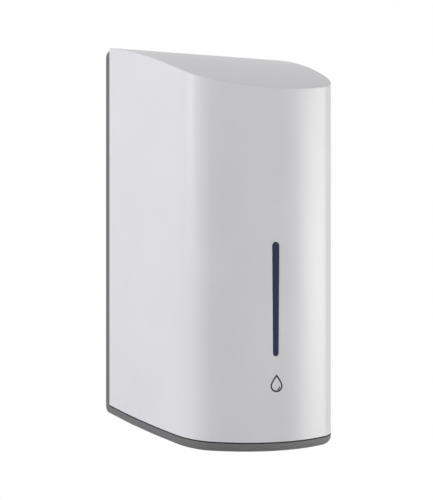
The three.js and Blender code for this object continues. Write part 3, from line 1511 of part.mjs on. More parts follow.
assembly.add(mesh('battery_box', batteryBox(), 'darkCase'));
assembly.add(mesh('battery_lid', batteryLid(), 'darkCase'));
cellPlaces().forEach((x, i) => {
  const upright = i % 2 === 0;
  const cell = mesh(`battery_${i + 1}`, batteryCell(upright), 'cellWrap');
  cell.position.set(x, -cellDepth(), 0);
  assembly.add(cell);
  assembly.add(mesh(`contact_spring_${i + 1}`, contactSpring(x, !upright), 'steel'));
});
contactPlaces().forEach((place, i) => {
  assembly.add(mesh(`contact_plate_${i + 1}`, contactStrip(place), 'steel'));
});

export default dispenser;
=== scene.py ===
import json
import math

import bmesh
import bpy
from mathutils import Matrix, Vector


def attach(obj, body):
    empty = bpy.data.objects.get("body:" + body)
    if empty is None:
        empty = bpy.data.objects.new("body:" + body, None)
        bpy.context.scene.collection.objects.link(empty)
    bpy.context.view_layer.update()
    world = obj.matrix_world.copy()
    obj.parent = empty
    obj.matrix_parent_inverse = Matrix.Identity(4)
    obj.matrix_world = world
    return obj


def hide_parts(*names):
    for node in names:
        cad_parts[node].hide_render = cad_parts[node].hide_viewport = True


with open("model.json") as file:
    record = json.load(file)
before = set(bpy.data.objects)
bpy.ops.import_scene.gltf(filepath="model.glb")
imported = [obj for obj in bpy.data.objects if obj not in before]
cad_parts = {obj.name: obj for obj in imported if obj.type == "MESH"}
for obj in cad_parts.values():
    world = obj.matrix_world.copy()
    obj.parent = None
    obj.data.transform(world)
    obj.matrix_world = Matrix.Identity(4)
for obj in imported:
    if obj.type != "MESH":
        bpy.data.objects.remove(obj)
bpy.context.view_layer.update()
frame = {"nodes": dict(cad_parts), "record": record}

# The studio: the dispenser hangs in the air against white, as in a catalogue picture.
# The camera stands low and to the left, level, and far enough away for a long lens.
# Large soft panels light it from the left, the front and the right.
scene = bpy.context.scene
scene.view_settings.view_transform = "Standard"

camera_place = (-0.7751, -1.2215, -0.0376)
camera_turn = -33.1
camera_rise = 0.0682
lens_length = 144
film_width = 36

camera_data = bpy.data.cameras.new("camera")
camera_data.sensor_width = film_width
camera_data.lens = lens_length
camera_data.shift_y = camera_rise
camera = bpy.data.objects.new("camera", camera_data)
camera.location = camera_place
camera.rotation_euler = (math.radians(90), 0, math.radians(camera_turn))
scene.collection.objects.link(camera)
scene.camera = camera


def srgb(text):
    """A hex colour, as a screen shows it, in the linear values that the shaders take."""
    values = [int(text[i:i + 2], 16) / 255 for i in (0, 2, 4)]
    linear = [v / 12.92 if v <= 0.04045 else ((v + 0.055) / 1.055) ** 2.4 for v in values]
    return (*linear, 1.0)


def shader_of(material):
    return material.node_tree.nodes["Principled BSDF"]


def new_material(name):
    """Material with its node tree and its shader."""
    material = bpy.data.materials.new(name)
    material.use_nodes = True
    return material, material.node_tree, shader_of(material)


def add_node(tree, kind, inputs=None, **settings):
    """Node with its settings. Each input is a value, or the socket that feeds it."""
    node = tree.nodes.new(kind)
    for name, value in settings.items():
        setattr(node, name, value)
    for key, value in (inputs or {}).items():
        if isinstance(value, bpy.types.NodeSocket):
            tree.links.new(value, node.inputs[key])
        else:
            node.inputs[key].default_value = value
    return node


def white_to_the_eye(tree, lit, output):
    """Plain white to the camera, in reflections and through glass, and the lit surface otherwise."""
    path = add_node(tree, "ShaderNodeLightPath")
    through = add_node(tree, "ShaderNodeMath", {
        0: path.outputs["Is Camera Ray"],
        1: path.outputs["Is Transmission Ray"]}, operation="MAXIMUM")
    seen = add_node(tree, "ShaderNodeMath", {
        0: through.outputs[0],
        1: path.outputs["Is Glossy Ray"]}, operation="MAXIMUM")
    in_world = output.bl_idname == "ShaderNodeOutputWorld"
    white = add_node(tree, "ShaderNodeBackground" if in_world else "ShaderNodeEmission", {
        "Color": srgb("ffffff"), "Strength": 1.0})
    mix = add_node(tree, "ShaderNodeMixShader", {0: seen.outputs[0], 1: lit, 2: white.outputs[0]})
    tree.links.new(mix.outputs[0], output.inputs["Surface"])


world = bpy.data.worlds.new("studio")
world.use_nodes = True
scene.world = world
tree = world.node_tree
world_light = tree.nodes["Background"]
world_light.inputs["Color"].default_value = srgb("f6f7fb")
world_light.inputs["Strength"].default_value = 0.22
white_to_the_eye(tree, world_light.outputs[0], tree.nodes["World Output"])

# Each panel's name, place and size in metres, power in watts, and tone. The left panel stays out of
# reflections, so that the narrow strip beside it draws the soft gloss along the cover's corner.
left_tone, right_tone = "ffffff", "fffff9"
light_aim = Vector((0, -0.05, 0))
light_panels = (
    ("left panel", (-1.8, -0.18, 0.67), (1.3, 0.75), 17.3, left_tone),
    ("left strip", (-1.19, -0.48, 0.5), (0.07, 0.75), 3.7, left_tone),
    ("front panel", (0.68, -1.88, 0.3), (0.7, 1.4), 3.4, right_tone),
    ("right panel", (1.89, -0.8, 0.1), (1.15, 1.3), 9.2, right_tone),
    ("right strip", (1.83, -0.93, 0.03), (0.8, 0.7), 8.4, right_tone),
)
for name, stand, size, power, tone in light_panels:
    light_data = bpy.data.lights.new(name, "AREA")
    light_data.shape = "RECTANGLE"
    light_data.size, light_data.size_y = size
    light_data.energy = power
    light_data.color = srgb(tone)[:3]
    light = bpy.data.objects.new(name, light_data)
    light.location = stand
    light.rotation_euler = (light_aim - Vector(stand)).to_track_quat("-Z", "Y").to_euler()
    light.visible_glossy = name != "left panel"
    scene.collection.objects.link(light)


def deselect():
    bpy.ops.object.select_all(action="DESELECT")


# The floor lies far below the dispenser and is painted matt white.
floor_width = 30
floor_height = -0.75
deselect()
bpy.ops.mesh.primitive_plane_add(size=floor_width, location=(0, 0, floor_height))
floor = bpy.context.object
floor.name = "studio_floor"
floor_paint, tree, shader = new_material("matt white floor")
shader.inputs["Base Color"].default_value = srgb("e9e9ea")
shader.inputs["Roughness"].default_value = 0.8
white_to_the_eye(tree, shader.outputs[0], tree.nodes["Material Output"])
floor.data.materials.append(floor_paint)

# The front cover: one tall injection moulding in white ABS, 2.5 mm thick, open at the back and below.
# Its sides and front bow outwards, and its top falls away to the front with a rounded edge.
# Two lugs at the back of the top swing on the hinge rod, and a hook inside the front meets the lock.
mm = 0.001
base_slope = math.radians(12.5)
total_height = 280 * mm
plate_depth = 4.4 * mm
cover_rear = 4.8 * mm
cover_depth = 101.8 * mm
shell_depth = cover_rear + cover_depth
half_width = 71.7 * mm
side_radius = 341 * mm
corner_radius = 26.8 * mm
front_radius = 142 * mm
plate_top = total_height - shell_depth * math.tan(base_slope)
foot_to_origin = plate_top / 2
cover_wall = 2.5 * mm
cover_foot = 7 * mm
top_edge = 1 * mm
top_fall = 13.2 * mm
top_crown = 18.9 * mm
# The outer skin lies this far inside the solid's, which leaves room for the ink on it.
print_room = 0.03 * mm


def under_height(y):
    """Height of the sloping underside at a place from back to front."""
    return y * math.tan(base_slope) - foot_to_origin


def top_height(y):
    """Height of the top, which falls away faster and faster to the front."""
    share = max(0.0, (-y - cover_rear) / cover_depth)
    return plate_top - top_fall * share - top_crown * share * share - foot_to_origin


def plan_outline(inset, side_steps=10, corner_steps=16, front_steps=20):
    """Bowed side, rounded corner and bowed front, from the left rear round to the right rear."""
    side_centre = Vector((side_radius - half_width, -cover_rear))
    front_centre = Vector((0, front_radius - shell_depth))
    to_side = side_radius - corner_radius
    to_front = front_radius - corner_radius
    between = front_centre - side_centre
    along = (to_side ** 2 - to_front ** 2 + between.length ** 2) / (2 * between.length)
    across = math.sqrt(to_side ** 2 - along ** 2)
    unit = between.normalized()
    square = Vector((unit.y, -unit.x))
    choices = [side_centre + unit * along + square * across * side for side in (-1, 1)]
    corner = min(choices, key=lambda point: point.x)
    side_end = math.atan2(side_centre.y - corner.y, side_centre.x - corner.x)
    front_end = math.atan2(front_centre.y - corner.y, front_centre.x - corner.x)
    points = [(side_centre.x - side_radius + inset, -cover_rear)]
    for centre, radius, start, end, steps in (
        (side_centre, side_radius, 0, side_end, side_steps),
        (corner, corner_radius, side_end, front_end, corner_steps),
        (front_centre, front_radius, front_end, math.pi / 2, front_steps),
    ):
        for i in range(1, steps + 1):
            turn = start + (end - start) * i / steps
            reach = radius - inset
            points.append((centre.x - reach * math.cos(turn), centre.y - reach * math.sin(turn)))
    points[-1] = (0.0, points[-1][1])
    return points + [(-x, y) for x, y in reversed(points[:-1])]


def new_piece(name, mesh_maker):
    """Object from a mesh that is built face by face, with its faces turned outwards."""
    bm = bmesh.new()
    mesh_maker(bm)
    bmesh.ops.recalc_face_normals(bm, faces=bm.faces)
    mesh = bpy.data.meshes.new(name)
    bm.to_mesh(mesh)
    bm.free()
    piece = bpy.data.objects.new(name, mesh)
    scene.collection.objects.link(piece)
    return piece


def cover_shell(bm, wall_rings=30, edge_rings=8):
    """Outer and inner skin, ring by ring: no primitive gives three tangent arcs under a falling top."""
    skins = []
    for inset, edge, drop in ((print_room, top_edge, 0), (cover_wall, top_edge / 2, cover_wall)):
        wall = plan_outline(inset)
        rings = []
        for i in range(wall_rings):
            share = i / wall_rings
            rings.append([(x, y, (under_height(y) + cover_foot) * (1 - share)
                           + (top_height(y) - drop - edge) * share) for x, y in wall])
        for i in range(edge_rings + 1):
            turn = math.pi / 2 * i / edge_rings
            outline = plan_outline(inset + edge * (1 - math.cos(turn)))
            rings.append([(x, y, top_height(y) - drop - edge * (1 - math.sin(turn))) for x, y in outline])
        skins.append([[bm.verts.new(point) for point in ring] for ring in rings])
    outer, inner = skins
    count = len(outer[0])
    for skin in skins:
        for low, high in zip(skin, skin[1:]):
            for i in range(count - 1):
                bm.faces.new((low[i], low[i + 1], high[i + 1], high[i]))
        rim = skin[-1]
        for i in range(count // 2):
            face = [rim[i], rim[i + 1], rim[count - 2 - i], rim[count - 1 - i]]
            bm.faces.new(face if i + 1 != count - 2 - i else face[:2] + face[3:])
    for i in range(count - 1):
        bm.faces.new((outer[0][i], outer[0][i + 1], inner[0][i + 1], inner[0][i]))
    for low, high, low_in, high_in in zip(outer, outer[1:], inner, inner[1:]):
        for i in (0, count - 1):
            bm.faces.new((low[i], high[i], high_in[i], low_in[i]))
    bm.faces.new((outer[-1][0], outer[-1][-1], inner[-1][-1], inner[-1][0]))


def take(piece):
    """Selects one piece alone and makes it the active one."""
    deselect()
    bpy.context.view_layer.objects.active = piece
    piece.select_set(True)


def apply_modifier(piece, kind, **settings):
    """Adds a modifier with its settings and applies it at once."""
    modifier = piece.modifiers.new(kind.lower(), kind)
    for name, value in settings.items():
        setattr(modifier, name, value)
    take(piece)
    bpy.ops.object.modifier_apply(modifier=modifier.name)


# The rear edge gets a full round, and the edge above the base a smaller one.
cover = new_piece("cover_shell", cover_shell)
rear_round = 0.8 * mm
foot_round = 0.25 * mm
touch = 0.01 * mm
edge_weights = cover.data.attributes.new("bevel_weight_edge", "FLOAT", "EDGE")
for edge in cover.data.edges:
    ends = [cover.data.vertices[i].co for i in edge.vertices]
    if all(end.y > -cover_rear - touch for end in ends):
        edge_weights.data[edge.index].value = 1
    elif all(end.z < under_height(end.y) + cover_foot + touch for end in ends):
        edge_weights.data[edge.index].value = foot_round / rear_round
apply_modifier(cover, "BEVEL", width=rear_round, segments=4, limit_method="WEIGHT", use_clamp_overlap=True)

# The slot for the window is cut through the front, and its mouth is rounded.
window_top = 119.3 * mm - foot_to_origin
window_length = 77.7 * mm
window_top_radius = 3 * mm
window_foot_radius = 2.35 * mm
slot_mouth = 0.5 * mm
front_depth = shell_depth - print_room
# How deep below the front each ring lies and how far it has widened, in shares of the mouth's round.
mouth_rings = ((1, 0), (0.5, 0.13), (0.12, 0.45), (-0.1, 1), (-1.1, 2))


def slot_outline(grow, steps=12):
    """Upright slot with a wide round top and a narrower round foot, in width and height."""
    points = []
    for centre, radius, start in (
        (window_top - window_top_radius, window_top_radius, 0),
        (window_top - window_length + window_foot_radius, window_foot_radius, math.pi),
    ):
        for i in range(steps + 1):
            turn = start + math.pi * i / steps
            reach = radius + grow
            points.append((reach * math.cos(turn), centre + reach * math.sin(turn)))
    return points


def slot_cutter(bm):
    """Closed body through the front wall, from ring to ring."""
    levels = [(0, front_depth - 2 * cover_wall)]
    levels += [(slot_mouth * wider, front_depth - slot_mouth * below) for below, wider in mouth_rings]
    rings = [[bm.verts.new((x, -depth, z)) for x, z in slot_outline(grow)] for grow, depth in levels]
    count = len(rings[0])
    for low, high in zip(rings, rings[1:]):
        for i in range(count):
            following = (i + 1) % count
            bm.faces.new((low[i], low[following], high[following], high[i]))
    bm.faces.new(rings[0])
    bm.faces.new(rings[-1])


def combine(piece, operation, other):
    """Cuts the other piece away or joins it on, and removes it."""
    apply_modifier(piece, "BOOLEAN", operation=operation, solver="EXACT", object=other)
    bpy.data.objects.remove(other)


combine(cover, "DIFFERENCE", new_piece("slot_cutter", slot_cutter))


def block(low, high):
    """Box between two corners."""
    deselect()
    centre = [(a + b) / 2 for a, b in zip(low, high)]
    bpy.ops.mesh.primitive_cube_add(size=1, location=centre, scale=[b - a for a, b in zip(low, high)])
    bpy.ops.object.transform_apply(location=True, rotation=True, scale=True)
    return bpy.context.object


def rod(radius, start, end, facets=32):
    """Cylinder from one point to another."""
    deselect()
    start, end = Vector(start), Vector(end)
    bpy.ops.mesh.primitive_cylinder_add(
        vertices=facets, radius=radius, depth=(end - start).length, location=(start + end) / 2,
        rotation=(end - start).to_track_quat("Z", "Y").to_euler())
    bpy.ops.object.transform_apply(location=True, rotation=True, scale=True)
    return bpy.context.object


# Each lug is a short arm with a knuckle at its end, and one bore for the rod runs through both.
lug_width = 12 * mm
lug_spacing = 84 * mm
lug_reach = 3 * mm
lug_drop = 1 * mm
knuckle_radius = 2.1 * mm
knuckle_drop = 0.3 * mm
knuckle_facets = 40
rod_radius = 1 * mm
fit_gap = 0.3 * mm
hinge_depth = plate_depth - knuckle_radius
hinge_height = plate_top - knuckle_drop - knuckle_radius - foot_to_origin
for side in (-1, 1):
    left = side * lug_spacing / 2 - lug_width / 2
    right = left + lug_width
    lug = rod(knuckle_radius, (left, -hinge_depth, hinge_height),
              (right, -hinge_depth, hinge_height), knuckle_facets)
    arm = block((left, -cover_rear - lug_reach, hinge_height - knuckle_radius),
                (right, -hinge_depth, plate_top - lug_drop - foot_to_origin))
    combine(lug, "UNION", arm)
    combine(cover, "UNION", lug)
# The drill reaches past both lugs.
drill_reach = lug_spacing
drill = rod(rod_radius + fit_gap, (-drill_reach, -hinge_depth, hinge_height),
            (drill_reach, -hinge_depth, hinge_height))
combine(cover, "DIFFERENCE", drill)


def face_of(points):
    """One flat face through points, left selected in edit mode for the next step."""
    deselect()
    bpy.ops.mesh.primitive_circle_add(vertices=len(points), fill_type="NGON")
    piece = bpy.context.object
    for vertex, point in zip(piece.data.vertices, points):
        vertex.co = point
    bpy.ops.object.mode_set(mode="EDIT")
    bpy.ops.mesh.select_all(action="SELECT")
    return piece


def extrude(x, y, z):
    """Pulls out what is selected in edit mode."""
    bpy.ops.mesh.extrude_region_move(TRANSFORM_OT_translate={"value": (x, y, z)})


def turn_faces_out():
    """Points every face of the piece outwards, and leaves edit mode."""
    bpy.ops.mesh.select_all(action="SELECT")
    bpy.ops.mesh.normals_make_consistent(inside=False)
    bpy.ops.object.mode_set(mode="OBJECT")


# The hook is an L, square to the sloping base: an arm from the front, and a bar that lies behind the
# cam once the lock is turned, so that the cover can't come forward.
lock_across = 44 * mm
lock_along = 81.03 * mm
cam_length = 9 * mm
cam_half_width = 3.2 * mm
cam_hub_rim = 1 * mm
cam_foot = 12.85 * mm
hook_arm = 4 * mm
hook_thickness = 3 * mm
hook_height = 6 * mm
hook_side_gap = 1.6 * mm
hook_end_gap = 0.4 * mm
hook_edge = 0.4 * mm
hook_foot = cam_foot - fit_gap
arm_left = lock_across - cam_length - hook_side_gap - fit_gap - hook_arm
arm_right = arm_left + hook_arm
arm_front = -101 * mm
bar_right = lock_across - cam_half_width - cam_hub_rim - 2 * fit_gap
bar_front = -(lock_along - cam_half_width - hook_end_gap)
bar_rear = bar_front + hook_thickness
hook = face_of([(x, y, hook_foot) for x, y in (
    (arm_left, arm_front), (arm_right, arm_front), (arm_right, bar_front), (bar_right, bar_front),
    (bar_right, bar_rear), (arm_left, bar_rear))])
extrude(0, 0, hook_height)
turn_faces_out()
apply_modifier(hook, "BEVEL", width=hook_edge, segments=2)
hook.rotation_euler.x = base_slope
hook.location.z = -foot_to_origin
take(hook)
bpy.ops.object.transform_apply(location=True, rotation=True, scale=True)
combine(cover, "UNION", hook)

# Two pegs stand inside the front, above and below the slot, to carry the window's frame.
peg_radius = 1.5 * mm
peg_edge = 0.3 * mm
peg_past_slot = 6.5 * mm
peg_length = 5.2 * mm
peg_root = shell_depth - cover_wall / 2
peg_tip = shell_depth - cover_wall - peg_length
peg_bevel_angle = math.radians(60)
for height in (window_top + peg_past_slot, window_top - window_length - peg_past_slot):
    peg = rod(peg_radius, (0, -peg_root, height), (0, -peg_tip, height))
    apply_modifier(peg, "BEVEL", width=peg_edge, segments=2, limit_method="ANGLE",
                   angle_limit=peg_bevel_angle)
    combine(cover, "UNION", peg)


def smooth(piece, degrees=32):
    take(piece)
    bpy.ops.object.shade_smooth_by_angle(angle=math.radians(degrees))


def keep_flats_flat(piece):
    """Turns the shading so that flat faces look flat beside their broken edges."""
    apply_modifier(piece, "WEIGHTED_NORMAL", keep_sharp=True)


# Cutting and joining leave slivers, which are merged away before the shading is set.
sliver = 0.004 * mm
take(cover)
bpy.ops.object.mode_set(mode="EDIT")
bpy.ops.mesh.select_all(action="SELECT")
bpy.ops.mesh.remove_doubles(threshold=sliver)
bpy.ops.mesh.dissolve_degenerate(threshold=sliver)
bpy.ops.object.mode_set(mode="OBJECT")
smooth(cover)
keep_flats_flat(cover)

# Tone and gloss drift over some centimetres, and the noise for them seldom leaves these two values.
drift_size = 60 * mm
noise_low, noise_high = 0.3, 0.7


def two_tones(tree, noise, shade, colour, low=noise_low, high=noise_high):
    """Colour that goes from shade to colour with a noise."""
    tone = add_node(tree, "ShaderNodeValToRGB", {"Fac": noise.outputs["Fac"]})
    tone.color_ramp.elements[0].position = low
    tone.color_ramp.elements[0].color = srgb(shade)
    tone.color_ramp.elements[1].position = high
    tone.color_ramp.elements[1].color = srgb(colour)
    return tone.outputs["Color"]


def uneven_gloss(tree, noise, roughness, spread):
    """Roughness that varies by spread to both sides with a noise."""
    gloss = add_node(tree, "ShaderNodeMapRange", {
        "Value": noise.outputs["Fac"], "From Min": noise_low, "From Max": noise_high,
        "To Min": roughness - spread, "To Max": roughness + spread})
    return gloss.outputs["Result"]


def moulded(name, colour, shade, roughness, grain, depth, ior=1.53, gloss_spread=0.03):
    """Moulded surface: a faint spark-eroded grain, and slow drifts in tone and gloss.

    Real mould grain is finer than 0.1 mm. It is drawn as coarse as it needs to be to show.
    """
    material, tree, shader = new_material(name)
    shader.inputs["IOR"].default_value = ior
    coords = add_node(tree, "ShaderNodeTexCoord")
    drift = add_node(tree, "ShaderNodeTexNoise", {
        "Vector": coords.outputs["Object"], "Scale": 1 / drift_size, "Detail": 3.0, "Roughness": 0.55})
    fine = add_node(tree, "ShaderNodeTexNoise", {
        "Vector": coords.outputs["Object"], "Scale": 1 / grain, "Detail": 2.0, "Roughness": 0.6})
    bump = add_node(tree, "ShaderNodeBump", {
        "Height": fine.outputs["Fac"], "Strength": 0.4, "Distance": depth})
    tree.links.new(two_tones(tree, drift, shade, colour), shader.inputs["Base Color"])
    tree.links.new(uneven_gloss(tree, drift, roughness, gloss_spread), shader.inputs["Roughness"])
    tree.links.new(bump.outputs["Normal"], shader.inputs["Normal"])
    return material


# White ABS from a finely eroded mould: clean, cool white, satin, with soft wide reflections.
white_abs = moulded("satin white ABS", "e6e5ea", "e2e1e6",
                    roughness=0.33, grain=0.7 * mm, depth=0.012 * mm)


def place(piece, material, body, slot, *nodes):
    """Gives a piece its finish and its body, and hides the nodes that it stands for. The slot is not used.
    """
    piece.data.materials.clear()
    piece.data.materials.append(material)
    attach(piece, body)
    if nodes:
        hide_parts(*nodes)


place(cover, white_abs, "front_cover", "white_shell", "front_cover")

# The printed drop under the window: a plain outline with a short inner stroke, in dark grey ink.
# It is pad printed, so the ink is a thin skin that follows the bowed front.
drop_foot = -111 * mm
drop_height = 12.2 * mm
drop_half = 4.95 * mm
drop_belly = 4.3 * mm
# The print sits slightly right of the middle.
drop_shift = 0.4 * mm
tip_pull_out = 1.6 * mm
tip_pull_down = 1.9 * mm
side_pull_up = 2.4 * mm
stroke_width = 1.15 * mm
inner_radius = 2.65 * mm
inner_half = 0.16 * mm
inner_swell = 0.3 * mm
inner_taper = 0.7
inner_start = math.radians(2)
inner_sweep = math.radians(80)
ink_depth = 0.02 * mm
belly_height = drop_foot + drop_belly


def drop_edge(steps=24):
    """Half outline from the tip down: a bent side, then a quarter of an ellipse."""
    tip = drop_foot + drop_height
    pulls = ((0, tip), (tip_pull_out, tip - tip_pull_down),
             (drop_half, belly_height + side_pull_up), (drop_half, belly_height))
    points = []
    for i in range(steps + 1):
        t = i / steps
        shares = ((1 - t) ** 3, 3 * t * (1 - t) ** 2, 3 * t * t * (1 - t), t ** 3)
        points.append(tuple(sum(w * pull[axis] for w, pull in zip(shares, pulls)) for axis in (0, 1)))
    for i in range(1, steps + 1):
        turn = math.pi / 2 * i / steps
        points.append((drop_half * math.cos(turn), belly_height - drop_belly * math.sin(turn)))
    return points


def inner_stroke(steps=16):
    """Crescent inside the drop at its lower right, thickest in the middle."""
    outer, inner = [], []
    for i in range(steps + 1):
        turn = -(inner_start + inner_sweep * i / steps)
        half = inner_half + inner_swell * math.sin(math.pi * i / steps) ** inner_taper
        for line, radius in ((outer, inner_radius + half), (inner, inner_radius - half)):
            line.append((radius * math.cos(turn), belly_height + radius * math.sin(turn)))
    return outer + inner[::-1]


right_half = drop_edge()
left_half = [(-x, z) for x, z in right_half[-2:0:-1]]
printed_drop = face_of([(x, 0, z) for x, z in right_half + left_half])
bpy.ops.mesh.inset(thickness=stroke_width, use_even_offset=True)
bpy.ops.mesh.delete(type="FACE")
bpy.ops.object.mode_set(mode="OBJECT")
crescent = face_of([(x, 0, z) for x, z in inner_stroke()])
bpy.ops.object.mode_set(mode="OBJECT")
take(printed_drop)
crescent.select_set(True)
bpy.ops.object.join()
printed_drop.name = "printed_drop"
bpy.ops.object.mode_set(mode="EDIT")
bpy.ops.mesh.select_all(action="SELECT")
extrude(0, -2 * ink_depth, 0)
turn_faces_out()
for vertex in printed_drop.data.vertices:
    vertex.co.x += drop_shift
    bow = front_radius - math.sqrt(front_radius ** 2 - vertex.co.x ** 2)
    vertex.co.y += ink_depth - (front_depth - bow)
smooth(printed_drop)

# Pad-printing ink: nearly black grey and dull, with the grain of the shell showing in its gloss.
print_ink = moulded("dark grey pad printing ink", "1f1f22", "18181b",
                    roughness=0.55, grain=0.7 * mm, depth=0.006 * mm, ior=1.5)
shader_of(print_ink).inputs["Specular IOR Level"].default_value = 0.25
place(printed_drop, print_ink, "front_cover", "dark_case")

# The level window: a strip of tinted acrylic that fills the slot from behind, set back from the front.
# Its rear flange is held against the inside of the cover.
window_recess = 0.25 * mm
window_room = 0.12 * mm
window_round = 0.4 * mm
flange_reach = 3.2 * mm
flange_room = 0.6 * mm
flange_thickness = 1.5 * mm
flange_front = shell_depth - cover_wall - flange_room
flange_rear = flange_front - flange_thickness
strip_reach = shell_depth - window_recess - flange_front
window = face_of([(x, -flange_rear, z) for x, z in slot_outline(flange_reach)])
extrude(0, -flange_thickness, 0)
bpy.ops.mesh.inset(thickness=flange_reach + window_room, use_even_offset=True)
extrude(0, -strip_reach, 0)
bpy.ops.mesh.bevel(offset=window_round, segments=4, affect="EDGES")
turn_faces_out()
window.name = "level_window_strip"
smooth(window)
keep_flats_flat(window)

# Cast acrylic tinted navy: deep, even and glossy, and it lets nothing behind it show.
haze_size = 12 * mm
tinted_acrylic, tree, shader = new_material("navy tinted acrylic")
shader.inputs["IOR"].default_value = 1.49
shader.inputs["Roughness"].default_value = 0.12
shader.inputs["Specular IOR Level"].default_value = 0.3
coords = add_node(tree, "ShaderNodeTexCoord")
haze = add_node(tree, "ShaderNodeTexNoise", {
    "Vector": coords.outputs["Object"], "Scale": 1 / haze_size, "Detail": 2.0})
tree.links.new(two_tones(tree, haze, "1b2346", "262e54", 0, 1), shader.inputs["Base Color"])
place(window, tinted_acrylic, "front_cover", "blue_window", "level_window")

# The chassis: one grey ABS moulding, with the wall plate behind and the sloping base tray below.
# Its rim is rounded underneath and stands flush with the cover, and keyholes in the plate hang it.
merge_distance = 0.002 * mm
flat_angle = math.radians(0.3)
edge_angle = math.radians(40)
slots = {entry["node"]: entry["material_slot"] for entry in frame["record"]["subparts"]}
bodies = frame["record"]["behaviour"]["bodies"]


def dress(node, material, edge_break=0.15 * mm, degrees=32):
    """A merged copy of a CAD node that stands in for it, with broken edges and its own finish."""
    source = frame["nodes"][node]
    piece = bpy.data.objects.new(node + "_finished", source.data.copy())
    scene.collection.objects.link(piece)
    bm = bmesh.new()
    bm.from_mesh(piece.data)
    bmesh.ops.remove_doubles(bm, verts=bm.verts, dist=merge_distance)
    bmesh.ops.dissolve_limit(bm, angle_limit=flat_angle, verts=bm.verts, edges=bm.edges)
    bm.to_mesh(piece.data)
    bm.free()
    if edge_break:
        apply_modifier(piece, "BEVEL", width=edge_break, segments=2, limit_method="ANGLE",
                       angle_limit=edge_angle, use_clamp_overlap=False, loop_slide=False)
    smooth(piece, degrees)
    keep_flats_flat(piece)
    body = next(name for name, members in bodies.items() if node in members)
    place(piece, material, body, slots[node], node)


# Grey ABS from a coarser mould: mid grey and matt, so that the rim reads as a quiet dark band.
grey_abs = moulded("mid grey ABS", "727273", "6d6d6e",
                   roughness=0.6, grain=0.8 * mm, depth=0.02 * mm)
dress("chassis", grey_abs)

# The hinge rod: drawn steel wire, 2 mm thick and zinc plated.
# It is pushed in from the right, through the barrel along the plate's edge and the cover's two lugs.

# The marks on real plating are some hundredths of a millimetre wide, too fine to show if drawn so.
mark_size = 1.2 * mm


def plated(name, colour, shade, roughness, gloss_spread=0.06):
    """Bright metal: small changes in tone, and fine marks that spread the gloss."""
    material, tree, shader = new_material(name)
    shader.inputs["Metallic"].default_value = 1.0
    coords = add_node(tree, "ShaderNodeTexCoord")
    marks = add_node(tree, "ShaderNodeTexNoise", {
        "Vector": coords.outputs["Object"], "Scale": 1 / mark_size, "Detail": 4.0, "Roughness": 0.6})
    tree.links.new(two_tones(tree, marks, shade, colour), shader.inputs["Base Color"])
    tree.links.new(uneven_gloss(tree, marks, roughness, gloss_spread), shader.inputs["Roughness"])
    return material


# Zinc-plated steel: cool pale grey, with a soft broken shine.
zinc_plate = plated("zinc plated steel", "c4c6c9", "aeb1b6", roughness=0.34)
dress("hinge_rod", zinc_plate)

# The frame behind the window: a dark ABS strip with a hole at each end.
# It is pushed onto the cover's two pegs and clamps the window's flange.

# Charcoal ABS: matt and nearly black, so that nothing shines behind the window.
dark_abs = moulded("charcoal ABS", "404146", "3b3c41",
                   roughness=0.5, grain=0.8 * mm, depth=0.02 * mm)
dress("window_retainer", dark_abs)

# The cam lock: a barrel through the base tray with a nut inside, and a plug with a key slot in it.
# Barrel, nut and cam are nickel-plated zinc castings, and the plug is turned from brass.
# A screw holds the cam on the plug's square end.

# Nickel-plated zinc: warm pale grey, and brighter than the zinc plate.
nickel_zinc = plated("nickel plated zinc casting", "c3c0ba", "aaa7a2", roughness=0.3)

# Turned brass: bare and yellow, with the same shine.
turned_brass = plated("turned brass", "c9a95e", "b18f49", roughness=0.3)
dress("lock_body", nickel_zinc)
dress("lock_nut", nickel_zinc)
dress("lock_plug", turned_brass)
dress("lock_cam", nickel_zinc)
dress("cam_screw", zinc_plate)

# Fittings in the sloping base: the nozzle with its silicone valve and sleeve, the hand sensor
# behind its acrylic window, the lamp beside it, and the power inlet. Each sits in its own hole
# in the tray, and the sleeve joins the nozzle to the pump.

# Moulded silicone: cloudy and soft, because light spreads a few millimetres into it.
scatter_depth = 3 * mm
silicone = moulded("translucent silicone", "d9dad6", "cfd0cc",
                   roughness=0.42, grain=1.5 * mm, depth=0.01 * mm, ior=1.41)
shader_of(silicone).inputs["Subsurface Weight"].default_value = 0.4
shader_of(silicone).inputs["Subsurface Radius"].default_value = (scatter_depth,) * 3

# Infrared-passing acrylic: polished, and black to the eye with a trace of red.
infrared_acrylic = moulded("infrared passing acrylic", "1d1418", "181014",
                           roughness=0.12, grain=4 * mm, depth=0.004 * mm, ior=1.49)

# Cast epoxy, as small lamps are potted in: pale green and shiny.
lamp_epoxy = moulded("clear epoxy lamp", "cfe6d2", "c2dcc6",
                     roughness=0.15, grain=4 * mm, depth=0.004 * mm, ior=1.5)
dress("nozzle", dark_abs)
dress("drip_valve", silicone)
dress("outlet_tube", silicone)
dress("sensor_window", infrared_acrylic)
dress("ir_receiver", infrared_acrylic)
dress("ir_emitter", lamp_epoxy)
dress("status_lamp", lamp_epoxy)
dress("inlet_socket", dark_abs)

# The gel tank: blow moulded from natural polypropylene, with its spout standing in a well of the
# drive cover. Its moulded cap screws onto the neck, and silicone rings seal the cap and the spout.

# Natural polypropylene: milky white, waxy, and a little light comes through.
natural_pp = moulded("natural polypropylene", "eef0f0", "e6e8e9",
                     roughness=0.34, grain=6 * mm, depth=0.05 * mm, ior=1.49)
shader_of(natural_pp).inputs["Transmission Weight"].default_value = 0.35

# Dark polypropylene: the same waxy shine over grey.
dark_pp = moulded("dark grey polypropylene", "4e5056", "484a50",
                  roughness=0.46, grain=0.8 * mm, depth=0.02 * mm, ior=1.49)
dress("tank", natural_pp)
dress("tank_seal", silicone)
dress("tank_cap", dark_pp)
dress("cap_seal", silicone)

# The drive cover: a light grey ABS box, open below, that stands over pump, motor and boards.
# Its deck carries the tank, and four screws hold it to posts on the chassis.

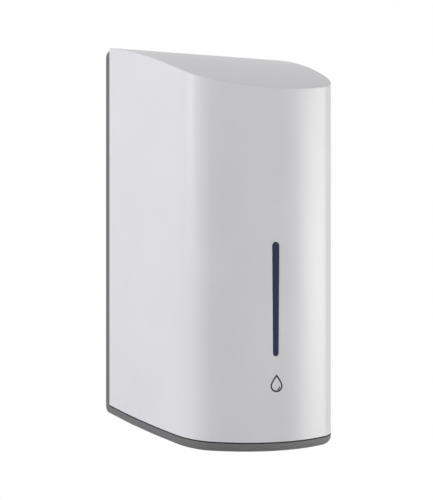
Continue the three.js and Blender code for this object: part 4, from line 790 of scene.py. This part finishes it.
# Light grey ABS: pale and matt, a shade darker than the outer shell.
light_abs = moulded("light grey ABS", "cdced1", "c8c9cc",
                    roughness=0.48, grain=0.8 * mm, depth=0.02 * mm)
dress("drive_cover", light_abs)
for number in (1, 2, 3, 4):
    dress(f"drive_cover_screw_{number}", zinc_plate)

# The power switch and the dose button: charcoal ABS mouldings in the front of the drive cover.
# The rocker tilts in the switch's housing, and the button presses the small switch on its board.
dress("switch_body", dark_abs)
dress("power_rocker", dark_abs)
dress("dose_button", dark_abs)

# The battery box: a charcoal ABS moulding for four cells, with a lid that slides up in its grooves.
# Two screws through its ears hold it to the wall plate.
dress("battery_box", dark_abs)
dress("battery_lid", dark_abs)
dress("battery_box_screw_1", zinc_plate)
dress("battery_box_screw_2", zinc_plate)

# The cells and their contacts: four steel cans in plain shrink sleeves, bare at both ends.
# They stand side by side between conical springs, each wound from one wire, and flat strips.

# Nickel-plated spring steel: the brightest metal here, with a sharp shine.
spring_steel = plated("nickel plated spring steel", "cfcfca", "b9b9b4", roughness=0.26)

# Shrink sleeve on a plated can: slate film with a smooth shine. Where the surface turns up or down,
# at the ends, the can is bare and shines as metal.
end_slope = 0.3
cell_finish = moulded("shrink sleeve on plated can", "36424f", "303b47",
                      roughness=0.34, grain=3 * mm, depth=0.006 * mm, ior=1.5)
tree = cell_finish.node_tree
shader = shader_of(cell_finish)
surface = add_node(tree, "ShaderNodeNewGeometry")
facing = add_node(tree, "ShaderNodeSeparateXYZ", {"Vector": surface.outputs["Normal"]})
upright = add_node(tree, "ShaderNodeMath", {0: facing.outputs["Z"]}, operation="ABSOLUTE")
bare_end = add_node(tree, "ShaderNodeMath", {
    0: upright.outputs[0], 1: end_slope}, operation="GREATER_THAN")
sleeve = shader.inputs["Base Color"].links[0].from_socket
can_colour = add_node(tree, "ShaderNodeMix", {
    0: bare_end.outputs[0], 6: sleeve, 7: srgb("cfcfca")}, data_type="RGBA")
tree.links.new(can_colour.outputs[2], shader.inputs["Base Color"])
tree.links.new(bare_end.outputs[0], shader.inputs["Metallic"])
for number in (1, 2, 3, 4):
    dress(f"battery_{number}", cell_finish)
    dress(f"contact_spring_{number}", spring_steel, edge_break=0, degrees=60)
for number in (1, 2, 3, 4, 5):
    dress(f"contact_plate_{number}", spring_steel)

# The gear pump and its motor: two acetal gears in an acetal housing, which a plate closes behind.
# One gear sits on the shaft of the motor behind the plate, and the other on a steel pin.
# Two screws through the housing's ears hold it to posts on the chassis.

# Acetal: creamy white, dense and slightly slick.
acetal = moulded("natural acetal", "e9e7df", "e2e0d8",
                 roughness=0.4, grain=1.0 * mm, depth=0.02 * mm, ior=1.48)
for node in ("pump_body", "pump_plate", "drive_gear", "idler_gear"):
    dress(node, acetal)
for node in ("pump_screw_1", "pump_screw_2", "motor_shaft", "idler_pin"):
    dress(node, zinc_plate)
dress("motor", nickel_zinc)

# The circuit boards: glass epoxy under green solder mask. The large one stands in two guides
# beside the pump, and the small ones carry the hand sensor and the dose button's switch.

# Solder mask: deep green lacquer, shiny and slightly wavy over the glass weave.
solder_mask = moulded("green solder mask", "1f5d3b", "1a5233",
                      roughness=0.35, grain=2.5 * mm, depth=0.03 * mm, ior=1.5)
for node in ("control_board", "sensor_board", "button_board"):
    dress(node, solder_mask)
